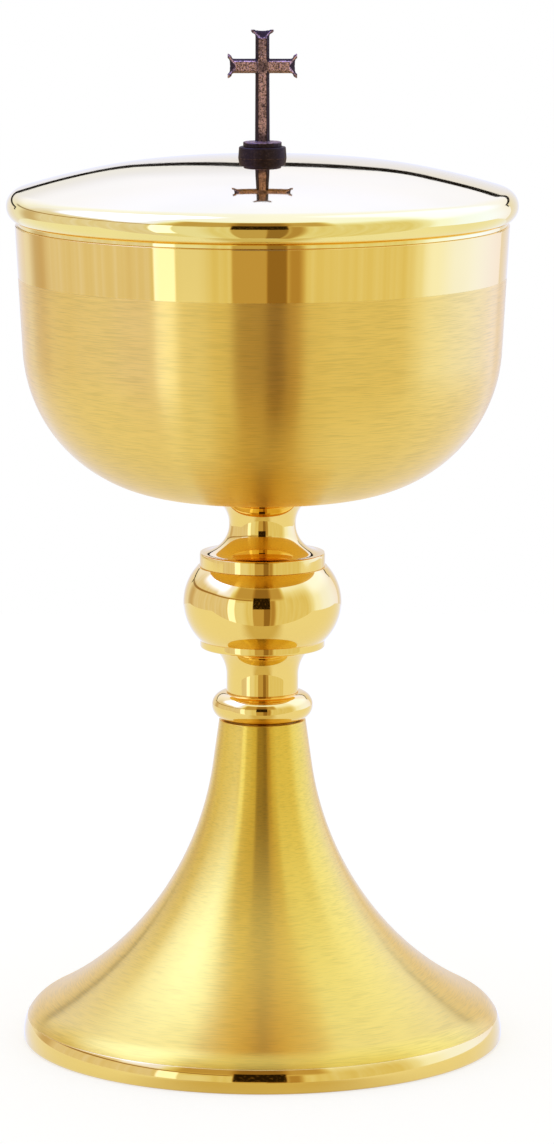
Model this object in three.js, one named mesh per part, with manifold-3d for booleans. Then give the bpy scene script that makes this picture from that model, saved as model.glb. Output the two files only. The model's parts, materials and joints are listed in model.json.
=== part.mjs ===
// A lidded cup on a tall flared foot: turned and spun gold-plated brass, with a cast bronze cross.
// Millimetres. +Z is up, Z = 0 is the plane it stands on, and the Z axis is the turning axis of
// every round piece. The cross faces -Y.
//
// Foot, stem and cup are stacked on one tie rod, which pulls them together from a nut inside the foot.
// The lid lies on the mouth of the cup, held on centre by a ring that hangs inside it.

import * as THREE from 'three';
import { mergeVertices } from 'three/addons/utils/BufferGeometryUtils.js';
import Module from 'manifold-3d';

const wasm = await Module();
wasm.setup();

// Clearances

const loose = 0.3;            // between a piece and the hole, socket or shoulder that it passes or sits in
const lidPlay = 0.5;          // all round between the lid's locating ring and the inside of the cup

// Facets round the axis, by the size of the piece

const wideSides = 48;
const stemSides = 28;
const smallSides = 20;

// Foot: a spun trumpet with a straight taper, one long flare and a rounded edge

const footHeight = 80.5;
const footRadius = 59.5;
const footTopRadius = 10.7;
const footTaper = 8;          // degrees from upright
const footTaperLength = 11.1; // how far down the straight taper runs
const footEdgeRadius = 8.8;   // of the rounded edge, seen in section
const footEdgeHeight = 2.0;   // where the foot is widest
const footSheet = 1.0;
const footPlate = 2.0;        // thickness of the closed top that the rod passes

// Rim ring: the turned ring that stiffens the foot's edge and stands on the table

const rimHeight = 6.0;        // where the spun trumpet ends and the ring begins
const rimCorner = 1.0;        // rounding at the table
const rimWidth = 4.5;         // of the flat it stands on
const rimSpigot = 1.6;        // how far the ring reaches up inside the trumpet

// Stem: bead, lower neck, knop plate, knop and upper neck

const beadSection = 3.4;      // radius of the bead, seen in section
const beadRadius = 12.5;      // of the bead, from the axis
const beadGroove = 0.15;      // height of the groove between foot and bead

const lowerNeckRadius = 8.9;
const lowerNeckStraight = 4.1;
const lowerNeckCove = 9.0;
const lowerNeckHeight = 11.15;

const knopPlateRadius = 15.45;
const knopPlateHeight = 2.0;
const flangeEdge = 0.6;       // rounding of the knop plate's and the upper flange's free edges

const knopRadius = 19.5;
const knopBulge = 13.0;       // radius of the round side, seen in section
const knopHeight = 18.2;
const knopBelly = 9.3;        // height of the widest place above the knop's foot
const knopWall = 1.6;
const knopEnd = 2.0;          // thickness of the knop's two ends

const upperFlangeRadius = 15.45;
const upperFlangeHeight = 3.45;
const upperNeckWaist = 8.2;
const upperNeckCove = 7.1;
const upperNeckTopRadius = 12.4;
const upperNeckLip = 0.3;     // upright edge under the cup

const registerRadius = 6.0;   // of the spigots that keep the stem's pieces in line
const registerDepth = 1.6;

// Cup: a spun bowl with a crowned bottom, one round corner and a straight tapered wall

const cupMouthRadius = 60.4;
const cupHeight = 67.2;       // from its seat on the neck to its mouth
const cupWallTaper = 3.2;     // degrees from upright
const cupCornerRadius = 37.4;
const cupBottomSlope = 6.6;   // degrees, where the crowned bottom meets the corner
const cupSheet = 1.2;
const cupSeatMargin = 0.3;    // of the flat seat round the neck

// Boss under the cup, which takes the rod

const bossFlangeRadius = 7.7;
const bossFlange = 1.6;
const bossRadius = 4.7;
const bossLength = 11;
const bossRoof = 2.0;         // metal left above the blind hole

// Tie rod and its fasteners inside the foot

const rodRadius = 3.0;
const rodEnd = 3.0;           // of rod below the nut
const rodChamfer = 0.5;
const rodNutAcross = 10;
const rodNutHeight = 5;
const rodWasherThickness = 1.6;
const rodWasherMargin = 1.5;  // from the washer's edge to the inside of the foot
const rodSpringRadius = 5.2;
const rodSpringThickness = 1.5;

// Lid: a spun dome of four arcs with a round nose, and a short lip that lies on the cup's mouth

const lidOverhang = 2.1;      // beyond the cup's mouth
const lidNose = 4.0;          // outside radius of the nose, seen in section
const lidNoseHeight = 4.6;    // of the nose's centre above the mouth
const lidCrown = 300;         // radius of the nearly flat middle of the dome
const lidCrownSlope = 6.3;    // degrees, where the middle ends
const lidBend = 88;           // radius of the bend round it
const lidBendSlope = 12;      // degrees, where the bend ends
const lidFlank = 480;         // radius of the nearly straight flank
const lidFlankSlope = 12.8;   // degrees, where the flank ends
const lidShoulder = 140;      // radius of the dome towards the nose
const lidLipSlope = 70;       // degrees round the nose below its widest place
const lidSheet = 0.9;
const lidRingDepth = 5.9;     // how far the locating ring hangs into the cup
const lidRingWall = 1.0;

// Finial: a turned collar and a cast cross with its foot disc and shank in one piece

const collarRadius = 5.9;
const collarTopRadius = 5.7;
const collarHeight = 2.7;

const crossFootRadius = 4.7;
const crossFootHeight = 1.2;
const crossHeight = 27.2;     // above the foot disc
const crossArmHeight = 18.4;  // of the arms' middle line above the foot disc
const crossSpan = 16.9;       // from tip to tip of the arms
const crossShaftWidth = 3.6;  // at the foot disc
const crossShaftSwell = 0.2;  // that the shaft is wider under the arms
const crossHeadWidth = 3.4;   // above the arms
const crossArmWidth = 3.5;
const crossThickness = 2.8;
const crossArmThickness = 2.6;
const crossFaceWidth = 2.2;   // of the raised faces, front and back
const crossBevel = 0.9;       // depth of each bevel beside them
const crossBevelWidth = 0.7;  // plain width of each bevel
const crossFlareLength = 1.6; // of the flared ends
const crossArmFlare = 5.6;    // width across an arm's flared end
const crossHeadFlare = 5.25;  // width across the top's flared end
const crossHollow = 0.55;     // depth of the hollowed ends
const crossHollowSlope = 47;  // degrees that a hollow leans in towards the front and back

// Shank and fasteners under the lid

const shankRadius = 2.0;
const shankEnd = 1.4;         // of shank below the nut
const shankWasherRadius = 5.0;
const shankWasherThickness = 0.8;
const shankSpringRadius = 3.6;
const shankSpringThickness = 0.9;
const shankNutAcross = 7;
const shankNutHeight = 3.2;

const springSlit = 30;        // degrees of the gap in a spring washer

// Finishes

const finish = (name, color, roughness) => {
  const material = new THREE.MeshStandardMaterial({ color, roughness, metalness: 1 });
  material.name = name;
  return material;
};
const polishedGold = () => finish('polished_gold', 0xe3bf62, 0.08);
const satinGold = () => finish('satin_gold', 0xd2ab55, 0.34);
const antiqueBronze = () => finish('antique_bronze', 0x54383a, 0.42);
const steel = () => finish('steel', 0xb9bbbd, 0.3);

// Outlines are lists of points (radius, height) in the half plane that is turned about the Z axis

const point = (radius, height) => new THREE.Vector2(radius, height);
const radians = THREE.MathUtils.degToRad;

// An arc of a turned outline. Angles are in degrees, 0 outwards and 90 upwards.
function arc(centre, radius, from, to, steps) {
  const points = [];
  for (let step = 0; step <= steps; step += 1) {
    const angle = radians(from + (to - from) * step / steps);
    points.push(point(centre.x + radius * Math.cos(angle), centre.y + radius * Math.sin(angle)));
  }
  return points;
}

// The angle in degrees at which an arc reaches a height, on its outer side
const angleAtHeight = (centre, radius, height) =>
  THREE.MathUtils.radToDeg(Math.asin((height - centre.y) / radius));

// How far from its centre line a circle reaches at a given offset from its centre
const reach = (radius, offset) => Math.sqrt(radius * radius - offset * offset);

// Solids

// Position-only geometry with its seam closed and without the flat triangles of the poles
function weld(geometry) {
  geometry.deleteAttribute('normal');
  geometry.deleteAttribute('uv');
  const welded = mergeVertices(geometry, 1e-5);
  const corners = welded.index.array;
  const kept = [];
  for (let i = 0; i < corners.length; i += 3) {
    const [a, b, c] = [corners[i], corners[i + 1], corners[i + 2]];
    if (a !== b && b !== c && c !== a) kept.push(a, b, c);
  }
  welded.setIndex(kept);
  return welded;
}

// A turned solid. Its outline closes on itself or starts and ends on the axis.
function turned(outline, sides) {
  const onAxis = Math.max(outline[0].x, outline.at(-1).x) < 1e-9;
  const closed = onAxis ? outline : [...outline, outline[0].clone()];
  const outwards = THREE.ShapeUtils.area(outline) > 0 ? closed : closed.reverse();
  return weld(new THREE.LatheGeometry(outwards, sides)).rotateX(Math.PI / 2);
}

// A flat plate of a given outline, from one height up to another
function plate(shape, bottom, thickness, curveSegments = 12) {
  const settings = { depth: thickness, bevelEnabled: false, curveSegments };
  const geometry = new THREE.ExtrudeGeometry(shape, settings);
  return weld(geometry).translate(0, 0, bottom);
}

const toSolid = (geometry) => new wasm.Manifold(new wasm.Mesh({
  numProp: 3,
  vertProperties: new Float32Array(geometry.attributes.position.array),
  triVerts: new Uint32Array(geometry.index.array),
}));

function toGeometry(solid) {
  const mesh = solid.getMesh();
  const geometry = new THREE.BufferGeometry();
  geometry.setAttribute('position', new THREE.BufferAttribute(new Float32Array(mesh.vertProperties), 3));
  geometry.setIndex(Array.from(mesh.triVerts));
  return geometry;
}

// The finished object and its two bodies
const ciborium = new THREE.Group();
const vessel = new THREE.Group();
const lid = new THREE.Group();
ciborium.add(vessel, lid);

function addPiece(body, name, geometry, material) {
  geometry.computeVertexNormals();
  const piece = new THREE.Mesh(geometry, material);
  piece.name = name;
  body.add(piece);
}

// Washers, spring washers and nuts

const rodHole = rodRadius + loose;
const shankHole = shankRadius + loose;

const washer = (hole, radius, bottom, thickness) => turned([
  point(hole, bottom),
  point(radius, bottom),
  point(radius, bottom + thickness),
  point(hole, bottom + thickness),
], smallSides);

function springWasher(hole, radius, bottom, thickness) {
  const from = radians(springSlit / 2);
  const to = radians(360 - springSlit / 2);
  const shape = new THREE.Shape();
  shape.absarc(0, 0, radius, from, to, false);
  shape.absarc(0, 0, hole, to, from, true);
  shape.closePath();
  return plate(shape, bottom, thickness);
}

function nut(hole, acrossFlats, bottom, height) {
  const corner = acrossFlats / Math.sqrt(3);
  const hexagon = [0, 60, 120, 180, 240, 300].map((degrees) =>
    new THREE.Vector2(corner * Math.cos(radians(degrees)), corner * Math.sin(radians(degrees))));
  const shape = new THREE.Shape(hexagon);
  shape.holes.push(new THREE.Path().absarc(0, 0, hole, 0, 2 * Math.PI, true));
  return plate(shape, bottom, height, smallSides / 2);
}

// Heights up the stack

const beadBottom = footHeight;
const beadCentreHeight = beadBottom + beadGroove + beadSection;
const lowerNeckBottom = beadCentreHeight + beadSection;
const knopPlateBottom = lowerNeckBottom + lowerNeckHeight;
const knopBottom = knopPlateBottom + knopPlateHeight;
const upperNeckBottom = knopBottom + knopHeight;
const upperNeckCoveBottom = upperNeckBottom + upperFlangeHeight;
const upperNeckCoveReach = reach(upperNeckCove, upperNeckWaist + upperNeckCove - upperNeckTopRadius);
const cupSeatHeight = upperNeckCoveBottom + upperNeckCove + upperNeckCoveReach + upperNeckLip;
const mouthHeight = cupSeatHeight + cupHeight;

// Foot shell

// The flare is the arc that touches the straight taper above it and the rounded edge below it
const taper = radians(footTaper);
const taperEnd = point(
  footTopRadius + footTaperLength * Math.tan(taper),
  footHeight - footTaperLength,
);
const edgeCentre = point(footRadius - footEdgeRadius, footEdgeHeight);
const across = taperEnd.clone().sub(edgeCentre);
const flareRadius = (across.lengthSq() - footEdgeRadius ** 2)
  / (2 * (footEdgeRadius - across.x * Math.cos(taper) - across.y * Math.sin(taper)));
const flareCentre = point(
  taperEnd.x + flareRadius * Math.cos(taper),
  taperEnd.y + flareRadius * Math.sin(taper),
);
const edgeTopAngle = THREE.MathUtils.radToDeg(
  Math.atan2(flareCentre.y - edgeCentre.y, flareCentre.x - edgeCentre.x),
);

// The foot's surface from its top down to a height on the rounded edge, moved inwards by the sheet or not
function footSide(inset, topHeight, bottomHeight, flareSteps, edgeSteps) {
  const topRadius = footTopRadius + (footHeight - topHeight) * Math.tan(taper) - inset / Math.cos(taper);
  const edgeRadius = footEdgeRadius - inset;
  return [
    point(topRadius, topHeight),
    ...arc(flareCentre, flareRadius + inset, 180 + footTaper, 180 + edgeTopAngle, flareSteps),
    ...arc(edgeCentre, edgeRadius, edgeTopAngle,
      angleAtHeight(edgeCentre, edgeRadius, bottomHeight), edgeSteps).slice(1),
  ];
}

const footPlateBottom = footHeight - footPlate;
const footInside = footSide(footSheet, footPlateBottom, rimHeight, 5, 2);

addPiece(vessel, 'foot_shell', turned([
  point(rodHole, footHeight),
  ...footSide(0, footHeight, rimHeight, 8, 2),
  ...footInside.toReversed(),
  point(rodHole, footPlateBottom),
], wideSides), satinGold());

// Rim ring

const spigotTop = rimHeight + rimSpigot;
const spigotRadius = edgeCentre.x + reach(footEdgeRadius - footSheet, spigotTop - edgeCentre.y) - loose;
const rimCornerCentre = point(footRadius - rimCorner, rimCorner);
const rimBore = rimCornerCentre.x - rimWidth;

addPiece(vessel, 'foot_rim_ring', turned([
  point(rimBore, 0),
  ...arc(rimCornerCentre, rimCorner, -90, 0, 2),
  ...arc(edgeCentre, footEdgeRadius, 0, angleAtHeight(edgeCentre, footEdgeRadius, rimHeight), 2),
  point(spigotRadius, rimHeight),
  point(spigotRadius, spigotTop),
  point(rimBore, spigotTop),
], wideSides), polishedGold());

// Bead

const beadCentre = point(beadRadius - beadSection, beadCentreHeight);

addPiece(vessel, 'stem_ring', turned([
  point(rodHole, beadBottom),
  point(beadCentre.x, beadBottom),
  ...arc(beadCentre, beadSection, -90, 90, 8),
  point(registerRadius, lowerNeckBottom),
  point(registerRadius, lowerNeckBottom + registerDepth),
  point(rodHole, lowerNeckBottom + registerDepth),
], stemSides), polishedGold());

// Lower neck, with a socket over the bead's spigot and a spigot of its own through the knop plate

const socketRadius = registerRadius + loose;
const lowerCoveCentre = point(lowerNeckRadius + lowerNeckCove, lowerNeckBottom + lowerNeckStraight);
const lowerCoveEnd = angleAtHeight(lowerCoveCentre, lowerNeckCove, knopPlateBottom);
const lowerSpigotTop = knopBottom + registerDepth;

addPiece(vessel, 'lower_neck', turned([
  point(socketRadius, lowerNeckBottom),
  point(lowerNeckRadius, lowerNeckBottom),
  ...arc(lowerCoveCentre, lowerNeckCove, 180, 180 - lowerCoveEnd, 4),
  point(registerRadius, knopPlateBottom),
  point(registerRadius, lowerSpigotTop),
  point(rodHole, lowerSpigotTop),
  point(rodHole, lowerNeckBottom + registerDepth + loose),
  point(socketRadius, lowerNeckBottom + registerDepth + loose),
], stemSides), polishedGold());

// Knop plate

addPiece(vessel, 'knop_plate', turned([
  point(socketRadius, knopPlateBottom),
  ...arc(point(knopPlateRadius - flangeEdge, knopPlateBottom + flangeEdge), flangeEdge, -90, 0, 2),
  point(knopPlateRadius, knopBottom),
  point(socketRadius, knopBottom),
], stemSides), polishedGold());

// Knop, hollow, with a register hole at each end

const knopCentre = point(knopRadius - knopBulge, knopBottom + knopBelly);
const knopInner = knopBulge - knopWall;
const knopSide = (radius, bottom, top, steps) => arc(knopCentre, radius,
  angleAtHeight(knopCentre, radius, bottom), angleAtHeight(knopCentre, radius, top), steps);

addPiece(vessel, 'knop', turned([
  point(socketRadius, knopBottom),
  ...knopSide(knopBulge, knopBottom, upperNeckBottom, 8),
  point(socketRadius, upperNeckBottom),
  point(socketRadius, upperNeckBottom - knopEnd),
  ...knopSide(knopInner, knopBottom + knopEnd, upperNeckBottom - knopEnd, 5).toReversed(),
  point(socketRadius, knopBottom + knopEnd),
], stemSides), polishedGold());

// Upper neck, with its flange, its spigot into the knop and its seat for the boss

const upperCoveCentre = point(upperNeckWaist + upperNeckCove, upperNeckCoveBottom + upperNeckCove);
const upperCoveTop = angleAtHeight(upperCoveCentre, upperNeckCove, cupSeatHeight - upperNeckLip);
const bossSocketRadius = bossFlangeRadius + loose;
const bossBore = bossRadius + loose;
const bossBottom = cupSeatHeight - bossFlange - bossLength;

addPiece(vessel, 'upper_neck', turned([
  point(rodHole, upperNeckBottom - registerDepth),
  point(registerRadius, upperNeckBottom - registerDepth),
  point(registerRadius, upperNeckBottom),
  point(upperFlangeRadius, upperNeckBottom),
  ...arc(point(upperFlangeRadius - flangeEdge, upperNeckCoveBottom - flangeEdge), flangeEdge, 0, 90, 2),
  ...arc(upperCoveCentre, upperNeckCove, -90, -180 - upperCoveTop, 8),
  point(upperNeckTopRadius, cupSeatHeight),
  point(bossSocketRadius, cupSeatHeight),
  point(bossSocketRadius, cupSeatHeight - bossFlange - loose),
  point(bossBore, cupSeatHeight - bossFlange - loose),
  point(bossBore, bossBottom - loose),
  point(rodHole, bossBottom - loose),
], stemSides), polishedGold());

// Boss, brazed under the cup

const bossHoleTop = cupSeatHeight - bossRoof;

addPiece(vessel, 'cup_boss', turned([
  point(0, bossHoleTop),
  point(rodHole, bossHoleTop),
  point(rodHole, bossBottom),
  point(bossRadius, bossBottom),
  point(bossRadius, cupSeatHeight - bossFlange),
  point(bossFlangeRadius, cupSeatHeight - bossFlange),
  point(bossFlangeRadius, cupSeatHeight),
  point(0, cupSeatHeight),
], smallSides), polishedGold());

// Tie rod and its fasteners

const rodWasherBottom = footPlateBottom - rodWasherThickness;
const rodSpringBottom = rodWasherBottom - rodSpringThickness;
const rodNutBottom = rodSpringBottom - rodNutHeight;
const rodBottom = rodNutBottom - rodEnd;
const rodTop = bossHoleTop - loose;
const rodWasherRadius = footInside[0].x - rodWasherMargin;

addPiece(vessel, 'tie_rod', turned([
  point(0, rodBottom),
  point(rodRadius - rodChamfer, rodBottom),
  point(rodRadius, rodBottom + rodChamfer),
  point(rodRadius, rodTop - rodChamfer),
  point(rodRadius - rodChamfer, rodTop),
  point(0, rodTop),
], smallSides), steel());

addPiece(vessel, 'foot_washer',
  washer(rodHole, rodWasherRadius, rodWasherBottom, rodWasherThickness), steel());
addPiece(vessel, 'foot_lock_washer',
  springWasher(rodHole, rodSpringRadius, rodSpringBottom, rodSpringThickness), steel());
addPiece(vessel, 'foot_nut', nut(rodHole, rodNutAcross, rodNutBottom, rodNutHeight), steel());

// Cup

// The corner touches the straight wall above it and the crowned bottom below it
const wall = radians(cupWallTaper);
const bottomSlope = radians(cupBottomSlope);
const cupSeatRadius = upperNeckTopRadius + cupSeatMargin;
const wallRadiusAt = (height) => cupMouthRadius - (mouthHeight - height) * Math.tan(wall);

// The corner's centre, found by lowering it until the crowned bottom passes through the edge of the seat
function findCorner() {
  let low = cupSeatHeight;
  let high = mouthHeight;
  let corner;
  for (let step = 0; step < 50; step += 1) {
    const height = (low + high) / 2;
    const radius = wallRadiusAt(height) - cupCornerRadius / Math.cos(wall);
    const crown = cupCornerRadius + radius / Math.sin(bottomSlope);
    const crownCentre = height + (crown - cupCornerRadius) * Math.cos(bottomSlope);
    const seat = crownCentre - reach(crown, cupSeatRadius);
    corner = { centre: point(radius, height), crown, crownCentre: point(0, crownCentre) };
    if (seat > cupSeatHeight) high = height;
    else low = height;
  }
  return corner;
}
const cupCorner = findCorner();

// The cup's surface from the edge of its seat, or from the axis, up to the mouth
function cupSide(inset, startRadius, crownSteps, cornerSteps) {
  const crown = cupCorner.crown - inset;
  const startAngle = -THREE.MathUtils.radToDeg(Math.acos(startRadius / crown));
  return [
    ...arc(cupCorner.crownCentre, crown, startAngle, cupBottomSlope - 90, crownSteps),
    ...arc(cupCorner.centre, cupCornerRadius - inset,
      cupBottomSlope - 90, -cupWallTaper, cornerSteps).slice(1),
    point(cupMouthRadius - inset / Math.cos(wall), mouthHeight),
  ];
}
const cupInside = cupSide(cupSheet, 0, 3, 6);

addPiece(vessel, 'cup', turned([
  point(0, cupSeatHeight),
  ...cupSide(0, cupSeatRadius, 3, 8),
  ...cupInside.toReversed(),
], wideSides), satinGold());

// Lid dome

// Each arc touches the next one where it has that slope, from the crown out to the round nose.
// The last step is from the shoulder's centre to the nose's, and its slope is what is left over.
const noseCentre = point(cupMouthRadius + lidOverhang - lidNose, mouthHeight + lidNoseHeight);
const slopeStep = (length, slope) =>
  point(length * Math.sin(radians(slope)), length * Math.cos(radians(slope)));
const crownToBend = slopeStep(lidCrown - lidBend, lidCrownSlope);
const bendToFlank = slopeStep(lidBend - lidFlank, lidBendSlope);
const flankToShoulder = slopeStep(lidFlank - lidShoulder, lidFlankSlope);
const shoulderOffset = crownToBend.x + bendToFlank.x + flankToShoulder.x;
const noseRun = noseCentre.x - shoulderOffset;
const noseSlope = THREE.MathUtils.radToDeg(Math.asin(noseRun / (lidShoulder - lidNose)));
const shoulderCentre = noseCentre.clone().sub(slopeStep(lidShoulder - lidNose, noseSlope));
const flankCentre = shoulderCentre.clone().sub(flankToShoulder);
const bendCentre = flankCentre.clone().sub(bendToFlank);
const crownCentre = bendCentre.clone().sub(crownToBend);
const noseTopAngle = 90 - noseSlope;

// The dome's surface from a radius near the axis out to the lip, moved inwards by the sheet or not
function domeSide(inset, startRadius, steps, noseSteps) {
  const crown = lidCrown - inset;
  const startAngle = THREE.MathUtils.radToDeg(Math.acos(startRadius / crown));
  const crownEnd = 90 - lidCrownSlope;
  const bendEnd = 90 - lidBendSlope;
  const flankEnd = 90 - lidFlankSlope;
  return [
    ...arc(crownCentre, crown, startAngle, crownEnd, steps),
    ...arc(bendCentre, lidBend - inset, crownEnd, bendEnd, steps).slice(1),
    ...arc(flankCentre, lidFlank - inset, bendEnd, flankEnd, 1).slice(1),
    ...arc(shoulderCentre, lidShoulder - inset, flankEnd, noseTopAngle, steps).slice(1),
    ...arc(noseCentre, lidNose - inset, noseTopAngle, -lidLipSlope, noseSteps).slice(1),
  ];
}

const finialSeatRadius = collarRadius + loose;
const domeOutside = domeSide(0, finialSeatRadius, 2, 8);
const domeInside = domeSide(lidSheet, finialSeatRadius, 1, 3);
const lidSeatHeight = domeOutside[0].y;
const lidUnderHeight = lidSeatHeight - lidSheet;
const lipRadius = domeOutside.at(-1).x;

addPiece(lid, 'lid_dome', turned([
  point(shankHole, lidSeatHeight),
  ...domeOutside,
  point(lipRadius, mouthHeight),
  point(lipRadius - lidSheet, mouthHeight),
  ...domeInside.slice(1).toReversed(),
  point(finialSeatRadius, lidUnderHeight),
  point(shankHole, lidUnderHeight),
], wideSides), polishedGold());

// Locating ring, soldered under the dome

const lidRingRadius = cupInside.at(-1).x - lidPlay;
const domeUnderAt = (radius) =>
  shoulderCentre.y + reach(lidShoulder - lidSheet, radius - shoulderCentre.x);

addPiece(lid, 'lid_locating_ring', turned([
  point(lidRingRadius - lidRingWall, mouthHeight - lidRingDepth),
  point(lidRingRadius, mouthHeight - lidRingDepth),
  point(lidRingRadius, domeUnderAt(lidRingRadius) - loose),
  point(lidRingRadius - lidRingWall, domeUnderAt(lidRingRadius - lidRingWall) - loose),
], wideSides), polishedGold());

// Collar under the cross

const collarTop = lidSeatHeight + collarHeight;

addPiece(lid, 'finial_collar', turned([
  point(shankHole, lidSeatHeight),
  point(collarRadius, lidSeatHeight),
  point(collarTopRadius, collarTop),
  point(shankHole, collarTop),
], smallSides), antiqueBronze());

// Washer, spring washer and nut under the lid

const shankWasherBottom = lidUnderHeight - shankWasherThickness;
const shankSpringBottom = shankWasherBottom - shankSpringThickness;
const shankNutBottom = shankSpringBottom - shankNutHeight;
const shankBottom = shankNutBottom - shankEnd;

addPiece(lid, 'lid_washer',
  washer(shankHole, shankWasherRadius, shankWasherBottom, shankWasherThickness), steel());
addPiece(lid, 'lid_lock_washer',
  springWasher(shankHole, shankSpringRadius, shankSpringBottom, shankSpringThickness), steel());
addPiece(lid, 'lid_nut', nut(shankHole, shankNutAcross, shankNutBottom, shankNutHeight), steel());

// Cross

const crossFootTop = collarTop + crossFootHeight;
const armMiddle = crossFootTop + crossArmHeight;
const crossTop = crossFootTop + crossHeight;

// One bar of the cross: an eight-sided section drawn along +Z through a list of distances, at each
// of which it has its own width. Its raised faces look along +Y and -Y and keep their width; the
// bevels beside them take up the flare.
function bar(stations, thickness, halfWidthAt) {
  const length = stations.at(-1);
  const steps = stations.length - 1;
  const face = crossFaceWidth / 2;
  const side = face + crossBevelWidth;
  const front = thickness / 2;
  const edge = front - crossBevel;
  const section = new THREE.Shape([
    new THREE.Vector2(face, -front),
    new THREE.Vector2(side, -edge),
    new THREE.Vector2(side, edge),
    new THREE.Vector2(face, front),
    new THREE.Vector2(-face, front),
    new THREE.Vector2(-side, edge),
    new THREE.Vector2(-side, -edge),
    new THREE.Vector2(-face, -front),
  ]);
  const geometry = new THREE.ExtrudeGeometry(section, { depth: length, steps, bevelEnabled: false });
  const position = geometry.attributes.position;
  for (let i = 0; i < position.count; i += 1) {
    const x = position.getX(i);
    const along = stations[Math.round(position.getZ(i) / length * steps)];
    position.setZ(i, along);
    if (Math.abs(x) > face + crossBevelWidth / 2) {
      position.setX(i, Math.sign(x) * halfWidthAt(along));
    }
  }
  return weld(geometry);
}

// How much wider a bar is than its plain width, at a distance from its flared end
function flare(fromEnd, plainWidth, flaredWidth) {
  const share = Math.max(0, 1 - fromEnd / crossFlareLength);
  return (flaredWidth - plainWidth) / 2 * share * share;
}

// Five distances that lead up a flare, counted from its narrow end
const flareStations = [0, 0.25, 0.5, 0.75, 1].map((share) => crossFlareLength * share);

function uprightBar() {
  const bottom = crossFootTop - crossFootHeight / 2;
  const length = crossTop - bottom;
  const halfWidthAt = (along) => {
    const height = bottom + along - crossFootTop;
    if (height > crossArmHeight) {
      return crossHeadWidth / 2 + flare(crossHeight - height, crossHeadWidth, crossHeadFlare);
    }
    return crossShaftWidth / 2 + crossShaftSwell / 2 * Math.max(0, height) / crossArmHeight;
  };
  const toArms = armMiddle - bottom;
  const flareStart = length - crossFlareLength;
  const stations = [
    0,
    toArms,
    toArms + crossArmWidth / 2,
    ...flareStations.map((along) => flareStart + along),
  ];
  return toSolid(bar(stations, crossThickness, halfWidthAt).translate(0, 0, bottom));
}

function arms() {
  const halfWidthAt = (along) =>
    crossArmWidth / 2 + flare(Math.min(along, crossSpan - along), crossArmWidth, crossArmFlare);
  const flareStart = crossSpan - crossFlareLength;
  const stations = [...flareStations, ...flareStations.map((along) => flareStart + along)];
  const geometry = bar(stations, crossArmThickness, halfWidthAt);
  geometry.translate(0, 0, -crossSpan / 2).rotateY(Math.PI / 2);
  return toSolid(geometry.translate(0, 0, armMiddle));
}

const cutterLength = 4 * crossThickness;
const cutterSides = 60;

// A round cutter that hollows one flared end, leaning inwards towards the face on one side.
// The end points along +X before it is turned up by endAngle about the Y axis.
function hollowCutter(flareWidth, endDistance, endAngle, side) {
  const half = flareWidth / 2;
  const lean = radians(crossHollowSlope);
  const hollow = crossHollow * Math.cos(lean);
  const radius = (half * half + hollow * hollow) / (2 * hollow);
  const cutter = weld(new THREE.CylinderGeometry(radius, radius, cutterLength, cutterSides));
  cutter.translate(radius, 0, 0);
  cutter.rotateZ(side * lean);
  cutter.translate(endDistance - crossHollow, 0, 0);
  cutter.rotateY(-endAngle);
  cutter.translate(0, 0, armMiddle);
  return toSolid(cutter);
}

function crossFoot() {
  return toSolid(turned([
    point(0, shankBottom),
    point(shankRadius - rodChamfer, shankBottom),
    point(shankRadius, shankBottom + rodChamfer),
    point(shankRadius, collarTop),
    point(crossFootRadius, collarTop),
    point(crossFootRadius, crossFootTop),
    point(0, crossFootTop),
  ], smallSides));
}

function cross() {
  let body = uprightBar().add(arms());
  for (const side of [-1, 1]) {
    body = body.subtract(hollowCutter(crossArmFlare, crossSpan / 2, 0, side));
    body = body.subtract(hollowCutter(crossArmFlare, crossSpan / 2, Math.PI, side));
    body = body.subtract(hollowCutter(crossHeadFlare, crossTop - armMiddle, Math.PI / 2, side));
  }
  return toGeometry(body.add(crossFoot()));
}

addPiece(lid, 'finial_cross', cross(), antiqueBronze());

export default ciborium;
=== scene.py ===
# A lidded cup on a tall flared foot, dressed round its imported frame. Metres, +Z up, the cross faces -Y.

import json
import math

import bmesh
import bpy
from bpy.props import FloatProperty, FloatVectorProperty, IntProperty, PointerProperty
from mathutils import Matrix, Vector

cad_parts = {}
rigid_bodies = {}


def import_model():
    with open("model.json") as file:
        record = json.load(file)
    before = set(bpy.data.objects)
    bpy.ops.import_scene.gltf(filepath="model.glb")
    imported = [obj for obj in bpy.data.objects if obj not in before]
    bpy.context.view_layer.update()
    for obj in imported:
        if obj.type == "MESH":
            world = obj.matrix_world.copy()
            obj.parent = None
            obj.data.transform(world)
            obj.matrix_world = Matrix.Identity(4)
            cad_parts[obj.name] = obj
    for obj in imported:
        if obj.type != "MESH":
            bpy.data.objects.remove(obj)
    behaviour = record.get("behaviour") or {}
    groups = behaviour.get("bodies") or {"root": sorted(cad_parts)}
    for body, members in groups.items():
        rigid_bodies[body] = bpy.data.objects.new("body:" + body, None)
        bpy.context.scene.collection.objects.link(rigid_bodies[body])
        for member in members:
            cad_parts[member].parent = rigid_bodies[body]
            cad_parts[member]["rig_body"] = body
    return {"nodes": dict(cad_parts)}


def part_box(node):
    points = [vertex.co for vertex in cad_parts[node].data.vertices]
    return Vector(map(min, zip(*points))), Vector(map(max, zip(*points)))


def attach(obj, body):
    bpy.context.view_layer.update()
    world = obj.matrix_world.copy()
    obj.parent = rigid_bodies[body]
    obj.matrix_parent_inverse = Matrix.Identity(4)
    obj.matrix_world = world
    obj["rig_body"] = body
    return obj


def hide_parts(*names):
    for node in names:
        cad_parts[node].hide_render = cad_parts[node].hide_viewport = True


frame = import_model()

bl_info = {
    "name": "Lidded Cup",
    "version": (1, 0, 0),
    "blender": (4, 5, 0),
    "location": "3D View > Sidebar > Lidded Cup",
    "description": "Turned, spun and cast pieces of a lidded cup, with their finishes and a plain stage",
    "category": "Add Mesh",
}

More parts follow.
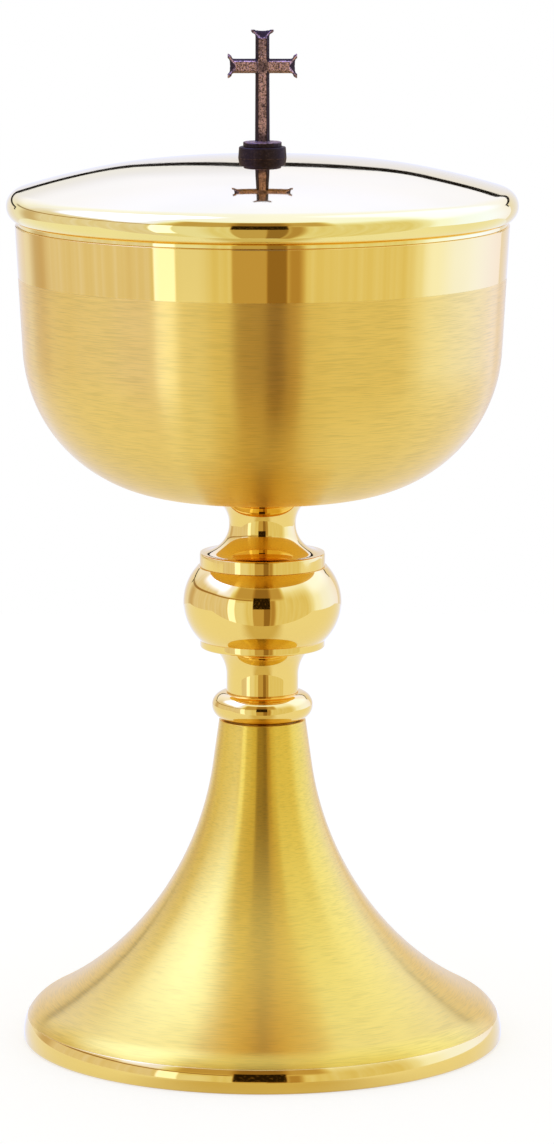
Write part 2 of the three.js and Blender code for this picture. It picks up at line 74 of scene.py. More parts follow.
MM = 0.001
CLEARANCE = 0.3 * MM      # between pieces that fit into each other, as in the solids
WELD = 0.001 * MM         # points nearer to each other than this are one
LID_HOLE = 2.3 * MM       # radius of the hole through the lid and the collar
BOSS_STEP = 3.0 * MM      # how far the boss's flange stands out
BOSS_FLANGE = 1.6 * MM    # thickness of that flange
CROSS_FOOT = 1.2 * MM     # height of the disc under the cross
CROSS_ARMS = 18.4 * MM    # height of the arms' middle above that disc


# Sizes and colours that a user would change

def length(name, description, millimetres):
    return FloatProperty(name=name, description=description, default=millimetres * MM,
                         min=0.0, precision=5, subtype="DISTANCE", unit="LENGTH")


def angle(name, description, degrees):
    return FloatProperty(name=name, description=description, default=math.radians(degrees),
                         subtype="ANGLE", unit="ROTATION")


def share(name, description, default):
    return FloatProperty(name=name, description=description, default=default,
                         min=0.0, max=1.0, subtype="FACTOR")


def strength(name, description, default):
    return FloatProperty(name=name, description=description, default=default, min=0.0)


def count(name, description, default):
    return IntProperty(name=name, description=description, default=default, min=3)


def colour(name, description, default):
    return FloatVectorProperty(name=name, description=description, default=default,
                               min=0.0, max=1.0, size=3, subtype="COLOR")


class FootSizes(bpy.types.PropertyGroup):
    radius: length("Radius", "Widest radius of the foot", 59.5)
    top_radius: length("Top radius", "Radius of the trumpet at its top", 10.7)
    taper: angle("Taper", "Taper of the trumpet's straight top, from upright", 8.0)
    taper_length: length("Taper length", "How far down the straight taper runs", 11.1)
    edge_radius: length("Edge radius", "Section radius of the rounded edge", 8.8)
    edge_height: length("Edge height", "Height at which the foot is widest", 2.0)
    sheet: length("Sheet", "Thickness of the spun sheet", 1.0)
    plate: length("Plate", "Thickness of the closed top", 2.0)
    rim_corner: length("Rim corner", "Rounding of the rim ring at the table", 1.0)
    rim_width: length("Rim width", "Width of the flat that the rim ring stands on", 4.5)


class StemSizes(bpy.types.PropertyGroup):
    bead_section: length("Bead section", "Section radius of the bead", 3.4)
    bead_groove: length("Bead groove", "Height of the groove under the bead", 0.15)
    lower_neck: length("Lower neck", "Radius of the lower neck", 8.9)
    lower_straight: length("Lower straight", "Height of the lower neck's straight part", 4.1)
    lower_cove: length("Lower cove", "Section radius of the lower neck's cove", 9.0)
    knop_bulge: length("Knop bulge", "Section radius of the knop's round side", 13.0)
    knop_belly: length("Knop belly", "Height of the knop's widest place above its foot", 9.3)
    knop_wall: length("Knop wall", "Wall of the hollow knop", 1.6)
    flange_edge: length("Flange edge", "Rounding of the flange's and the plate's free edges", 0.6)
    upper_flange: length("Upper flange", "Height of the flange on the knop", 3.45)
    upper_waist: length("Upper waist", "Narrowest radius of the upper neck", 8.2)
    upper_cove: length("Upper cove", "Section radius of the upper neck's cove", 7.1)
    upper_top: length("Upper top", "Radius of the upper neck under the bowl", 12.4)
    upper_lip: length("Upper lip", "Upright edge of the upper neck under the bowl", 0.3)
    register: length("Register", "Radius of the spigots that keep the stem in line", 6.0)


class BowlSizes(bpy.types.PropertyGroup):
    taper: angle("Taper", "Taper of the bowl's wall, from upright", 3.2)
    corner_radius: length("Corner radius", "Section radius of the bowl's corner", 37.4)
    bottom_slope: angle("Bottom slope", "Slope where the crowned bottom meets the corner", 6.6)
    sheet: length("Sheet", "Thickness of the spun sheet", 1.2)
    seat_margin: length("Seat margin", "Flat round the upper neck", 0.3)
    band: length("Polished band", "Height of the polished band under the mouth", 12.7)


class LidSizes(bpy.types.PropertyGroup):
    nose: length("Nose", "Section radius of the lid's round nose", 4.0)
    nose_height: length("Nose height", "Height of the nose's centre above the mouth", 4.6)
    crown: length("Crown", "Radius of the middle of the dome", 300.0)
    crown_slope: angle("Crown slope", "Slope where the crown meets the bend", 6.3)
    bend: length("Bend", "Radius of the bend round the crown", 88.0)
    bend_slope: angle("Bend slope", "Slope where the bend meets the flank", 12.0)
    flank: length("Flank", "Radius of the nearly straight flank", 480.0)
    flank_slope: angle("Flank slope", "Slope where the flank meets the shoulder", 12.8)
    shoulder: length("Shoulder", "Radius of the dome towards its nose", 140.0)
    lip_slope: angle("Lip slope", "Turn of the nose below its widest place", 70.0)
    sheet: length("Sheet", "Thickness of the spun sheet", 0.9)


class FastenerSizes(bpy.types.PropertyGroup):
    rod_pitch: length("Rod pitch", "Pitch of the tie rod's thread", 1.0)
    shank_pitch: length("Shank pitch", "Pitch of the thread under the lid", 0.7)
    thread_depth: length("Thread depth", "Depth of the tie rod's thread", 0.45)
    spring_slit: angle("Spring slit", "Gap of a spring washer", 16.0)


class FinishColours(bpy.types.PropertyGroup):
    polished: colour("Polished gold", "Reflected colour of the polished plating", (0.93, 0.615, 0.13))
    lid: colour("Lid gold", "Reflected colour of the lid's paler plating", (0.95, 0.71, 0.19))
    satin: colour("Satin gold", "Reflected colour of the brushed plating", (0.90, 0.555, 0.052))
    bowl: colour("Bowl's satin gold", "Reflected colour of the bowl's brushed plating",
                 (0.95, 0.60, 0.105))
    inside: colour("Inner gold", "Reflected colour of the spun inner sides", (0.84, 0.57, 0.18))
    bronze: colour("Bronze", "Dark patina of the cast pieces", (0.024, 0.012, 0.010))
    worn: colour("Worn bronze", "High faces where the patina is rubbed off", (0.86, 0.49, 0.37))
    hollow: colour("Hollows", "Cool patina in the hollowed ends", (0.035, 0.016, 0.016))
    steel: colour("Steel", "Zinc-plated steel", (0.62, 0.62, 0.64))
    polish: share("Polish", "Roughness of the polished plating", 0.035)
    brushing: share("Brushing", "Roughness of the brushed plating", 0.275)


class Facets(bpy.types.PropertyGroup):
    wide: count("Wide pieces", "Sides of the foot, bowl and lid", 320)
    stem: count("Stem pieces", "Sides of the stem's pieces", 200)
    small: count("Small pieces", "Sides of the small turned pieces", 96)


class StageSettings(bpy.types.PropertyGroup):
    table: colour("Table", "White sheet that the cup stands on", (0.86, 0.86, 0.86))
    studio: strength("Studio", "Light of the surroundings that the metal mirrors", 1.0)
    walls: strength("Walls", "How bright the studio's walls are", 0.81)
    even: strength("Even light", "Light of the surroundings on surfaces that are not metal", 0.85)


# Outlines are lists of points (radius, height) in the half plane that is turned about the Z axis

def arc(centre, radius, start, end, steps):
    """Points of a circular arc. Angles are in radians, 0 outwards and a quarter turn upwards."""
    points = []
    for step in range(steps + 1):
        turn = start + (end - start) * step / steps
        points.append((centre[0] + radius * math.cos(turn), centre[1] + radius * math.sin(turn)))
    return points


def line(start, end, steps=1):
    return [tuple(a + (b - a) * step / steps for a, b in zip(start, end)) for step in range(steps + 1)]


def reach(radius, offset):
    """How far from its centre line a circle reaches at a given offset from its centre."""
    return math.sqrt(radius * radius - offset * offset)


def cut_back(points, distance):
    """The points without the last stretch of a given length."""
    left = distance
    kept = list(points)
    while len(kept) > 2 and math.dist(kept[-1], kept[-2]) <= left:
        left -= math.dist(kept[-1], kept[-2])
        kept.pop()
    last, before = kept[-1], kept[-2]
    along = min(left / math.dist(last, before), 0.9)
    kept[-1] = tuple(a + (b - a) * along for a, b in zip(last, before))
    return kept


def join_runs(before, after, rounding):
    """Two runs that meet at a corner, which is rounded over the given distance on each side.

    A little beyond the rounding each run keeps a point, so that the rounding's shading ends there.
    """
    if rounding == 0:
        return before + after[1:]
    support = 1.6 * rounding
    steps = 6
    corner = before[-1]
    start, end = (cut_back(run, rounding)[-1] for run in (before, after[::-1]))
    curve = []
    for step in range(steps + 1):
        t = step / steps
        curve.append(tuple((1 - t) ** 2 * a + 2 * t * (1 - t) * c + t ** 2 * b
                           for a, c, b in zip(start, corner, end)))
    return cut_back(before, support) + curve + cut_back(after[::-1], support)[::-1]


def outline(*parts):
    """Runs of points, each from where the last one ends. A number rounds the corner between two."""
    points = []
    rounding = 0.0
    for part in parts:
        if isinstance(part, float):
            rounding = part
        else:
            points = join_runs(points, list(part), rounding) if points else list(part)
            rounding = 0.0
    return points


# Node trees

class Value:
    """A node's output, with which values are worked out as plain expressions."""

    def __init__(self, graph, socket):
        self.graph = graph
        self.socket = socket

    def math(self, operation, *others):
        inputs = dict(enumerate((self, *others)))
        return self.graph.add("ShaderNodeMath", {"operation": operation}, inputs)

    def vector(self, operation, *others):
        inputs = dict(enumerate((self, *others)))
        return self.graph.add("ShaderNodeVectorMath", {"operation": operation}, inputs)

    def __add__(self, other):
        return self.math("ADD", other)

    __radd__ = __add__

    def __sub__(self, other):
        return self.math("SUBTRACT", other)

    def __rsub__(self, other):
        return self.graph.add("ShaderNodeMath", {"operation": "SUBTRACT"}, {0: other, 1: self})

    def __mul__(self, other):
        return self.math("MULTIPLY", other)

    __rmul__ = __mul__

    def __truediv__(self, other):
        return self.math("DIVIDE", other)

    def ramp(self, low, high):
        """0 below low, 1 above high and smooth between them. Low may be the larger one."""
        return self.graph.add("ShaderNodeMapRange", {"interpolation_type": "SMOOTHSTEP"},
                              {"Value": self, "From Min": low, "From Max": high})

    def between(self, low, high, soft):
        """1 between low and high and 0 outside them, with soft edges."""
        return self.ramp(low - soft, low + soft) * self.ramp(high + soft, high - soft)

    def other_output(self, key):
        """Another output of the same node."""
        return Value(self.graph, self.socket.node.outputs[key])


class Graph:
    """A node tree with one method that adds any node to it."""

    def __init__(self, tree):
        self.tree = tree

    def add(self, kind, settings=None, inputs=None, output=0):
        node = self.tree.nodes.new(kind)
        for key, setting in (settings or {}).items():
            if key == "stops":
                self.set_stops(node.color_ramp, setting)
            else:
                setattr(node, key, setting)
        for key, given in (inputs or {}).items():
            self.feed(node.inputs[key], given)
        return Value(self, node.outputs[output]) if node.outputs else node

    def set_stops(self, ramp, stops):
        while len(ramp.elements) < len(stops):
            ramp.elements.new(1.0)
        for element, (position, stop_colour) in zip(ramp.elements, stops):
            element.position = position
            element.color = (*stop_colour, 1.0)

    def feed(self, socket, given):
        if isinstance(given, Value):
            self.tree.links.new(given.socket, socket)
        elif socket.type == "RGBA" and len(given) == 3:
            socket.default_value = (*given, 1.0)
        else:
            socket.default_value = given

    def mix(self, factor, first, second):
        """A colour between two others. The node's colours are its inputs 6 and 7 and its output 2."""
        settings = {"data_type": "RGBA", "clamp_factor": True}
        return self.add("ShaderNodeMix", settings, {0: factor, 6: first, 7: second}, 2)

    def scaled(self, vector, factor):
        return self.add("ShaderNodeVectorMath", {"operation": "SCALE"}, {0: vector, "Scale": factor})

    def combined(self, x=0.0, y=0.0, z=0.0):
        return self.add("ShaderNodeCombineXYZ", None, {0: x, 1: y, 2: z})

    def parts(self, vector):
        """The X, Y and Z of a vector."""
        x = self.add("ShaderNodeSeparateXYZ", None, {0: vector})
        return x, x.other_output(1), x.other_output(2)

    def place(self):
        """Where a point lies in its object."""
        return self.add("ShaderNodeTexCoord", None, None, "Object")

    def attribute(self, name):
        return self.add("ShaderNodeAttribute", {"attribute_name": name}, None, "Fac")

    def noise(self, vector, size=1.0, detail=2.0, roughness=0.5):
        inputs = {"Vector": vector, "Scale": 1 / size, "Detail": detail, "Roughness": roughness}
        return self.add("ShaderNodeTexNoise", None, inputs)

    def light(self, kind, light_colour, brightness=1.0):
        inputs = {"Color": light_colour, "Strength": brightness}
        return self.add("ShaderNode" + kind, None, inputs)

    def mix_shader(self, factor, first, second):
        return self.add("ShaderNodeMixShader", None, {0: factor, 1: first, 2: second})


def tree_input(tree, name, kind):
    return tree.interface.new_socket(name, in_out="INPUT", socket_type=kind).identifier


def new_tree(name, inputs):
    """An empty geometry tree, its named inputs and the sockets' identifiers."""
    tree = bpy.data.node_groups.new(name, "GeometryNodeTree")
    tree.is_modifier = True
    identifiers = {key: tree_input(tree, key, kind) for key, kind in inputs.items()}
    tree.interface.new_socket("Mesh", in_out="OUTPUT", socket_type="NodeSocketGeometry")
    graph = Graph(tree)
    group = tree.nodes.new("NodeGroupInput")
    sockets = {key: Value(graph, group.outputs[key]) for key in inputs}
    return graph, sockets, identifiers


def end_tree(graph, mesh, finish):
    """Welds and realizes what the tree has made and gives it its finish."""
    welded = graph.add("GeometryNodeMergeByDistance", None, {"Geometry": mesh, "Distance": WELD})
    real = graph.add("GeometryNodeRealizeInstances", None, {"Geometry": welded})
    dressed = graph.add("GeometryNodeSetMaterial", None, {"Geometry": real, "Material": finish})
    graph.add("NodeGroupOutput", None, {"Mesh": dressed})


def turned_tree():
    """Turns an outline about the Z axis. The outline's points are those of the object's own mesh."""
    graph, given, identifiers = new_tree("Turned piece", {
        "Outline": "NodeSocketGeometry",
        "Sides": "NodeSocketInt",
        "Finish": "NodeSocketMaterial",
    })
    points = graph.add("GeometryNodeAttributeDomainSize", {"component": "MESH"},
                       {"Geometry": given["Outline"]})
    row = given["Sides"] + 1
    grid = graph.add("GeometryNodeMeshGrid", None, {"Vertices X": points, "Vertices Y": row})
    index = graph.add("GeometryNodeInputIndex")
    point = (index / row).math("FLOOR")
    turn = (index - point * row) * math.tau / given["Sides"]

    def sample(kind, value):
        return graph.add("GeometryNodeSampleIndex", {"data_type": kind, "domain": "POINT"},
                         {"Geometry": given["Outline"], "Value": value, "Index": point})

    place = sample("FLOAT_VECTOR", graph.add("GeometryNodeInputPosition"))
    radius, _, height = graph.parts(place)
    where = graph.combined(radius * turn.math("COSINE"), radius * turn.math("SINE"), height)
    mesh = graph.add("GeometryNodeSetPosition", None, {"Geometry": grid, "Position": where})
    for name in ("along", "outside"):
        stored = graph.add("GeometryNodeInputNamedAttribute", {"data_type": "FLOAT"}, {"Name": name})
        mesh = graph.add("GeometryNodeStoreNamedAttribute", {"data_type": "FLOAT", "domain": "POINT"},
                         {"Geometry": mesh, "Name": name, "Value": sample("FLOAT", stored)})
    end_tree(graph, mesh, given["Finish"])
    return graph.tree, identifiers


def end_swept_tree(graph, path, section, lift, finish):
    """Ends a tree with a section that follows a flat or rising path, lifted to its height."""
    path = graph.add("GeometryNodeSetCurveNormal", {"mode": "Z_UP"}, {"Curve": path})
    mesh = graph.add("GeometryNodeCurveToMesh", None,
                     {"Curve": path, "Profile Curve": section, "Fill Caps": True})
    lifted = {"Geometry": mesh, "Translation": graph.combined(z=lift)}
    end_tree(graph, graph.add("GeometryNodeTransform", None, lifted), finish)


def thread_tree():
    """A thread's ridge, wound upwards about the Z axis."""
    graph, given, identifiers = new_tree("Thread", {
        "Radius": "NodeSocketFloat",
        "Depth": "NodeSocketFloat",
        "Pitch": "NodeSocketFloat",
        "Bottom": "NodeSocketFloat",
        "Height": "NodeSocketFloat",
        "Finish": "NodeSocketMaterial",
    })
    steps_in_turn = 40
    sunk_share = -0.4    # of the thread's depth, so that the ridge's root lies inside the rod
    root = given["Radius"] - given["Depth"]
    path = graph.add("GeometryNodeCurveSpiral", None, {
        "Resolution": steps_in_turn,
        "Rotations": given["Height"] / given["Pitch"],
        "Start Radius": root,
        "End Radius": root,
        "Height": given["Height"],
    })
    half = given["Pitch"] / 2
    crest = graph.combined(given["Depth"])
    upper = graph.combined(given["Depth"] * sunk_share, half)
    lower = graph.combined(given["Depth"] * sunk_share, half * -1.0)
    ridge = graph.add("GeometryNodeCurvePrimitiveQuadrilateral", {"mode": "POINTS"},
                      {"Point 1": crest, "Point 2": upper, "Point 3": lower, "Point 4": lower})
    end_swept_tree(graph, path, ridge, given["Bottom"], given["Finish"])
    return graph.tree, identifiers


def split_washer_tree():
    """A spring washer: a square section with soft edges that follows an arc with a gap."""
    graph, given, identifiers = new_tree("Spring washer", {
        "Hole": "NodeSocketFloat",
        "Radius": "NodeSocketFloat",
        "Bottom": "NodeSocketFloat",
        "Thickness": "NodeSocketFloat",
        "Slit": "NodeSocketFloat",
        "Finish": "NodeSocketMaterial",
    })
    steps, edge_steps, edge_share = 90, 4, 0.14
    path = graph.add("GeometryNodeCurveArc", {"mode": "RADIUS"}, {
        "Resolution": steps,
        "Radius": (given["Hole"] + given["Radius"]) / 2,
        "Start Angle": given["Slit"] / 2,
        "Sweep Angle": math.tau - given["Slit"],
    })
    section = graph.add("GeometryNodeCurvePrimitiveQuadrilateral", {"mode": "RECTANGLE"}, {
        "Width": given["Radius"] - given["Hole"],
        "Height": given["Thickness"],
    })
    soft_edges = {"Curve": section, "Count": edge_steps, "Radius": given["Thickness"] * edge_share}
    section = graph.add("GeometryNodeFilletCurve", {"mode": "POLY"}, soft_edges)
    end_swept_tree(graph, path, section, given["Bottom"] + given["Thickness"] / 2, given["Finish"])
    return graph.tree, identifiers


TREES = {}


def tree_named(name):
    makers = {"turned": turned_tree, "thread": thread_tree, "split washer": split_washer_tree}
    if name not in TREES:
        TREES[name] = makers[name]()
    return TREES[name]


# Pieces

def low(node):
    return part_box(node)[0].z


def high(node):
    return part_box(node)[1].z


def radius_of(node):
    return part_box(node)[1].x


def new_object(name, mesh):
    made = bpy.data.objects.new(name, mesh)
    bpy.context.scene.collection.objects.link(made)
    return made


def plain_mesh(made):
    """Turns what an object's modifiers make into its own mesh, and takes the modifiers off."""
    bpy.context.view_layer.update()
    graph = bpy.context.evaluated_depsgraph_get()
    mesh = bpy.data.meshes.new_from_object(made.evaluated_get(graph), preserve_all_data_layers=True,
                                           depsgraph=graph)
    made.modifiers.clear()
    made.data = mesh


def shape_by(tree_name, made, inputs):
    """Runs a geometry tree on an object and keeps the result as a plain mesh."""
    tree, identifiers = tree_named(tree_name)
    modifier = made.modifiers.new(tree_name, "NODES")
    modifier.node_group = tree
    for key, given in inputs.items():
        modifier[identifiers[key]] = given
    plain_mesh(made)


def tidy_faces(made, sharp=math.radians(32)):
    """Faces that point outwards, shaded smooth but for the edges that are sharp."""
    shape = bmesh.new()
    shape.from_mesh(made.data)
    bmesh.ops.recalc_face_normals(shape, faces=shape.faces)
    for face in shape.faces:
        face.smooth = True
    shape.to_mesh(made.data)
    shape.free()
    made.data.set_sharp_from_angle(angle=sharp)


def rod_hole():
    """Radius of the hole that the tie rod goes through."""
    return radius_of("tie_rod") + CLEARANCE


def keep(made, node):
    """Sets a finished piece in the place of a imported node, on the body that it belongs to."""
    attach(made, frame["nodes"][node]["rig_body"])
    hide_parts(node)


def turned(name, points, sides, finish, outer_count=None):
    """A turned piece. Its first points, as many as are counted, lie outside; by default all do."""
    on_axis = max(points[0][0], points[-1][0]) < 1e-9
    closed = points if on_axis else points + [points[0]]
    mesh = bpy.data.meshes.new(name)
    mesh.from_pydata([(radius, 0.0, height) for radius, height in closed], [], [])
    along = mesh.attributes.new("along", "FLOAT", "POINT")
    outside = mesh.attributes.new("outside", "FLOAT", "POINT")
    travelled = 0.0
    for index, place in enumerate(closed):
        if index:
            travelled += math.dist(place, closed[index - 1])
        along.data[index].value = travelled
        outside.data[index].value = float(outer_count is None or index < outer_count)
    made = new_object(name, mesh)
    shape_by("turned", made, {"Sides": sides, "Finish": finish_named(finish)})
    made.data.materials.clear()
    made.data.materials.append(finish_named(finish))
    tidy_faces(made)
    return made


def add_turned(name, node, finish, sides, points, outer_count=None):
    """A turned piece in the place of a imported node."""
    keep(turned(name, points, sides, finish, outer_count), node)


# Finishes

WAVINESS = 0.014 * MM        # of the polished turned pieces
LID_WAVINESS = 0.004 * MM    # of the lid, which is polished flatter


def new_material(name):
    material = bpy.data.materials.new(name)
    material.use_nodes = True
    material.node_tree.nodes.clear()
    return material, Graph(material.node_tree)


def times(base, share_of_it):
    return tuple(part * share_of_it for part in base)


def bump(graph, height, depth, normal=None):
    inputs = {"Height": height, "Distance": depth, "Strength": 1.0}
    if normal is not None:
        inputs["Normal"] = normal
    return graph.add("ShaderNodeBump", None, inputs)


def metal(graph, base, roughness, normal, anisotropy=0.0, metallic=1.0):
    across_the_brushing = 0.25
    inputs = {
        "Base Color": base,
        "Metallic": metallic,
        "Roughness": roughness,
        "Normal": normal,
        "Anisotropic": anisotropy,
        "Anisotropic Rotation": across_the_brushing,
    }
    return graph.add("ShaderNodeBsdfPrincipled", None, inputs)


def streaks(graph, per_radian, width, detail=1.0, roughness=0.5):
    """Noise on a turned surface that is drawn out round the axis, without a seam.

    So many streaks follow each other in a radian, and each is about so wide along the outline.
    """
    flat = graph.place().vector("MULTIPLY", (1.0, 1.0, 0.0))
    round_it = graph.scaled(flat.vector("NORMALIZE"), per_radian)
    lift = graph.combined(z=graph.attribute("along") * (1 / width))
    return graph.noise(round_it.vector("ADD", lift), 1.0, detail, roughness)


def polish(graph, base, roughness, waviness):
    """Mirror polish with the faint waviness and the handling smudges of hand polishing."""
    place = graph.place()
    normal = bump(graph, graph.noise(place, 14 * MM, 1.0), waviness)
    normal = bump(graph, streaks(graph, 1.5, 0.9 * MM), 0.00025 * MM, normal)
    smudges = graph.noise(place, 9 * MM, 3.0, 0.6).ramp(0.45, 0.8)
    tone = graph.noise(place, 30 * MM).ramp(0.3, 0.7)
    return metal(graph, graph.mix(tone, times(base, 0.965), base), smudges * 0.035 + roughness, normal)


def brushed(graph, base, roughness):
    """Satin brushing that runs round the axis: fine short lines, here and there a stronger one."""
    fine = streaks(graph, 9.0, 0.23 * MM, 2.0, 0.6)
    strong = streaks(graph, 5.0, 0.38 * MM).ramp(0.6, 0.8)
    patches = graph.noise(graph.place(), 14 * MM)
    normal = bump(graph, strong, 0.0013 * MM, bump(graph, fine, 0.0014 * MM))
    tone = (fine + (patches - 0.5) * 0.25 - strong * 0.06).ramp(0.25, 0.62)
    rough = roughness - 0.02 + patches * 0.04 + fine * 0.03
    return metal(graph, graph.mix(tone, times(base, 0.84), base), rough, normal, anisotropy=1.0)


def spun(graph, base, roughness):
    """The inner side of spun sheet, with shallow tool marks round the axis."""
    marks = streaks(graph, 1.2, 1.3 * MM, 3.0, 0.6)
    smudges = graph.noise(graph.place(), 16 * MM, 3.0).ramp(0.4, 0.75)
    normal = bump(graph, marks, 0.003 * MM)
    return metal(graph, graph.mix(smudges, base, times(base, 0.9)), smudges * 0.05 + roughness, normal)


def end_material(graph, shader):
    graph.add("ShaderNodeOutputMaterial", None, {"Surface": shader})


def polished_gold(name, base, roughness, waviness):
    material, graph = new_material(name)
    end_material(graph, polish(graph, tuple(base), roughness, waviness))
    return material


def mixed_gold(name, finishes, base, lowest, highest, inner_roughness):
    """Brushed outside between two heights, polished outside them, and spun inside."""
    material, graph = new_material(name)
    soft = 0.08 * MM
    brushed_part = graph.parts(graph.place())[2].between(lowest, highest, soft)
    satin = brushed(graph, tuple(base), finishes.brushing)
    bright = polish(graph, tuple(finishes.polished), finishes.polish, WAVINESS)
    outer = graph.mix_shader(brushed_part, bright, satin)
    inner = spun(graph, tuple(finishes.inside), inner_roughness)
    end_material(graph, graph.mix_shader(graph.attribute("outside").ramp(0.45, 0.55), inner, outer))
    return material


def steel(finishes):
    """Plated steel, a little stained."""
    material, graph = new_material("plated steel")
    place = graph.place()
    stains = graph.noise(place, 3 * MM, 3.0).ramp(0.4, 0.7)
    base = tuple(finishes.steel)
    normal = bump(graph, graph.noise(place, 0.35 * MM, 3.0), 0.004 * MM)
    stained = graph.mix(stains, base, times(base, 0.72))
    end_material(graph, metal(graph, stained, stains * 0.12 + 0.28, normal))
    return material


def bronze(finishes):
    """Dark cast bronze: grainy, rubbed lighter on its high faces and edges, cool in its hollows, and darker
    by painted shade in the cross's crossing and at its shaft's foot.
    """
    material, graph = new_material("antique bronze")
    place = graph.place()
    grain = graph.noise(place, 0.42 * MM, 3.0, 0.7)
    mottle = graph.noise(place, 1.3 * MM, 4.0, 0.75)
    patches = graph.noise(place, 4.5 * MM)
    # The stored rubbed faces hold painted shade too: they are darker in the crossing and at the shaft's
    # foot
    rubbed = graph.attribute("high") * ((mottle * 0.6 + patches * 0.4).ramp(0.28, 0.66) * 0.6 + 0.4)
    rubbed_edge = graph.attribute("edge") * (mottle * 0.6 + patches * 0.6).ramp(0.4, 0.7)
    dark, worn = tuple(finishes.bronze), tuple(finishes.worn)
    base = graph.mix(graph.attribute("hollow"), dark, tuple(finishes.hollow))
    base = graph.mix((grain * 0.5 + mottle * 0.5).ramp(0.46, 0.66) * 0.7, base, times(worn, 0.1))
    base = graph.mix(rubbed.math("MAXIMUM", rubbed_edge), base, worn)
    base = graph.mix(grain.ramp(0.56, 0.42) * 0.85, base, dark)
    rough = 0.5 - rubbed * 0.1 + grain * 0.1
    normal = bump(graph, mottle, 0.045 * MM, bump(graph, grain, 0.026 * MM))
    shader = metal(graph, base, rough, normal, metallic=0.75)
    warm_glance = (1.0, 0.8, 0.5, 1.0)
    shader.socket.node.inputs["Specular Tint"].default_value = warm_glance
    end_material(graph, shader)
    return material


FINISHES = {}


def finish_named(name):
    """One of the object's finishes, made when it is first asked for."""
    scene = bpy.context.scene
    finishes = scene.cup_finishes
    inside_foot, inside_bowl = 0.3, 0.16
    ground, sky = 0.0, 1.0
    makers = {
        "polished": lambda: polished_gold("polished gold", finishes.polished, finishes.polish, WAVINESS),
        "lid": lambda: polished_gold("lid gold", finishes.lid, finishes.polish, LID_WAVINESS),
        "foot": lambda: mixed_gold("foot gold", finishes, finishes.satin,
                                   low("foot_shell"), sky, inside_foot),
        "bowl": lambda: mixed_gold("bowl gold", finishes, finishes.bowl,
                                   ground, high("cup") - scene.cup_bowl.band, inside_bowl),
        "steel": lambda: steel(finishes),
        "bronze": lambda: bronze(finishes),
    }
    if name not in FINISHES:
        FINISHES[name] = makers[name]()
    return FINISHES[name]


# Foot

def foot_curves(foot, top):
    """Where the trumpet's flare and its rounded edge have their centres."""
    taper_end = (foot.top_radius + foot.taper_length * math.tan(foot.taper), top - foot.taper_length)
    edge = (foot.radius - foot.edge_radius, foot.edge_height)
    across = (taper_end[0] - edge[0], taper_end[1] - edge[1])
    squared = across[0] ** 2 + across[1] ** 2
    slack = foot.edge_radius - across[0] * math.cos(foot.taper) - across[1] * math.sin(foot.taper)
    flare = (squared - foot.edge_radius ** 2) / (2 * slack)
    centre = (taper_end[0] + flare * math.cos(foot.taper), taper_end[1] + flare * math.sin(foot.taper))
    meeting = math.atan2(centre[1] - edge[1], centre[0] - edge[0])
    return centre, flare, edge, meeting


def foot_side(foot, top, inset, start, end):
    """The trumpet's surface between two heights, moved inwards by the sheet or not."""
    centre, flare, edge, meeting = foot_curves(foot, top)
    radius = foot.top_radius + (top - start) * math.tan(foot.taper) - inset / math.cos(foot.taper)
    flared = arc(centre, flare + inset, math.pi + foot.taper, math.pi + meeting, 70)
    rounded = arc(edge, foot.edge_radius - inset, meeting,
                  math.asin((end - edge[1]) / (foot.edge_radius - inset)), 18)
    return line((radius, start), flared[0], 6) + flared[1:] + rounded[1:]


class CUP_OT_foot(bpy.types.Operator):
    """Add the spun trumpet foot and its turned rim ring"""
    bl_idname = "cup.add_foot"
    bl_label = "Foot"

    def execute(self, context):
        foot = context.scene.cup_foot
        sides = context.scene.cup_facets.wide
        self.add_trumpet(foot, sides)
        self.add_rim_ring(foot, sides)
        return {"FINISHED"}

    def add_trumpet(self, foot, sides):
        rim, top = low("foot_shell"), high("foot_shell")
        hole, plate = rod_hole(), top - foot.plate
        outer = foot_side(foot, top, 0.0, top, rim)
        inner = foot_side(foot, top, foot.sheet, plate, rim)
        points = outline(
            line((hole, top), outer[0], 4), 0.25 * MM, outer, [outer[-1], inner[-1]], inner[::-1],
            0.8 * MM, line(inner[0], (hole, plate), 4), [(hole, plate), (hole, top)],
        )
        add_turned("trumpet_foot", "foot_shell", "foot", sides, points, points.index(outer[-1]) + 1)

    def add_rim_ring(self, foot, sides):
        rim, top = low("foot_shell"), high("foot_rim_ring")
        edge = foot_curves(foot, high("foot_shell"))[2]
        spigot = edge[0] + reach(foot.edge_radius - foot.sheet, top - edge[1]) - CLEARANCE
        corner = (foot.radius - foot.rim_corner, foot.rim_corner)
        bore = corner[0] - foot.rim_width
        flat = line((bore, 0.0), (corner[0], 0.0), 4)
        rounded = arc(corner, foot.rim_corner, -math.pi / 2, 0.0, 10)
        band = arc(edge, foot.edge_radius, 0.0, math.asin((rim - edge[1]) / foot.edge_radius), 16)
        points = outline(
            [(spigot, rim), (spigot, top)], 0.2 * MM, line((spigot, top), (bore, top), 2), 0.2 * MM,
            line((bore, top), (bore, 0.0), 4), 0.3 * MM, flat + rounded[1:] + band, 0.12 * MM,
            line(band[-1], (spigot, rim), 2),
        )
        add_turned("rim_ring", "foot_rim_ring", "polished", sides, points)


# Stem

def bead_outline(stem):
    bottom, spigot_top = low("stem_ring"), high("stem_ring")
    hole, register = rod_hole(), stem.register
    centre = (radius_of("stem_ring") - stem.bead_section, bottom + stem.bead_groove + stem.bead_section)
    top = centre[1] + stem.bead_section
    return outline(
        [(hole, spigot_top), (hole, bottom)], line((hole, bottom), (centre[0], bottom), 3),
        [(centre[0], bottom), (centre[0], bottom + stem.bead_groove)],
        arc(centre, stem.bead_section, -math.pi / 2, math.pi / 2, 48),
        line((centre[0], top), (register, top), 2),
        [(register, top), (register, spigot_top), (hole, spigot_top)],
    )


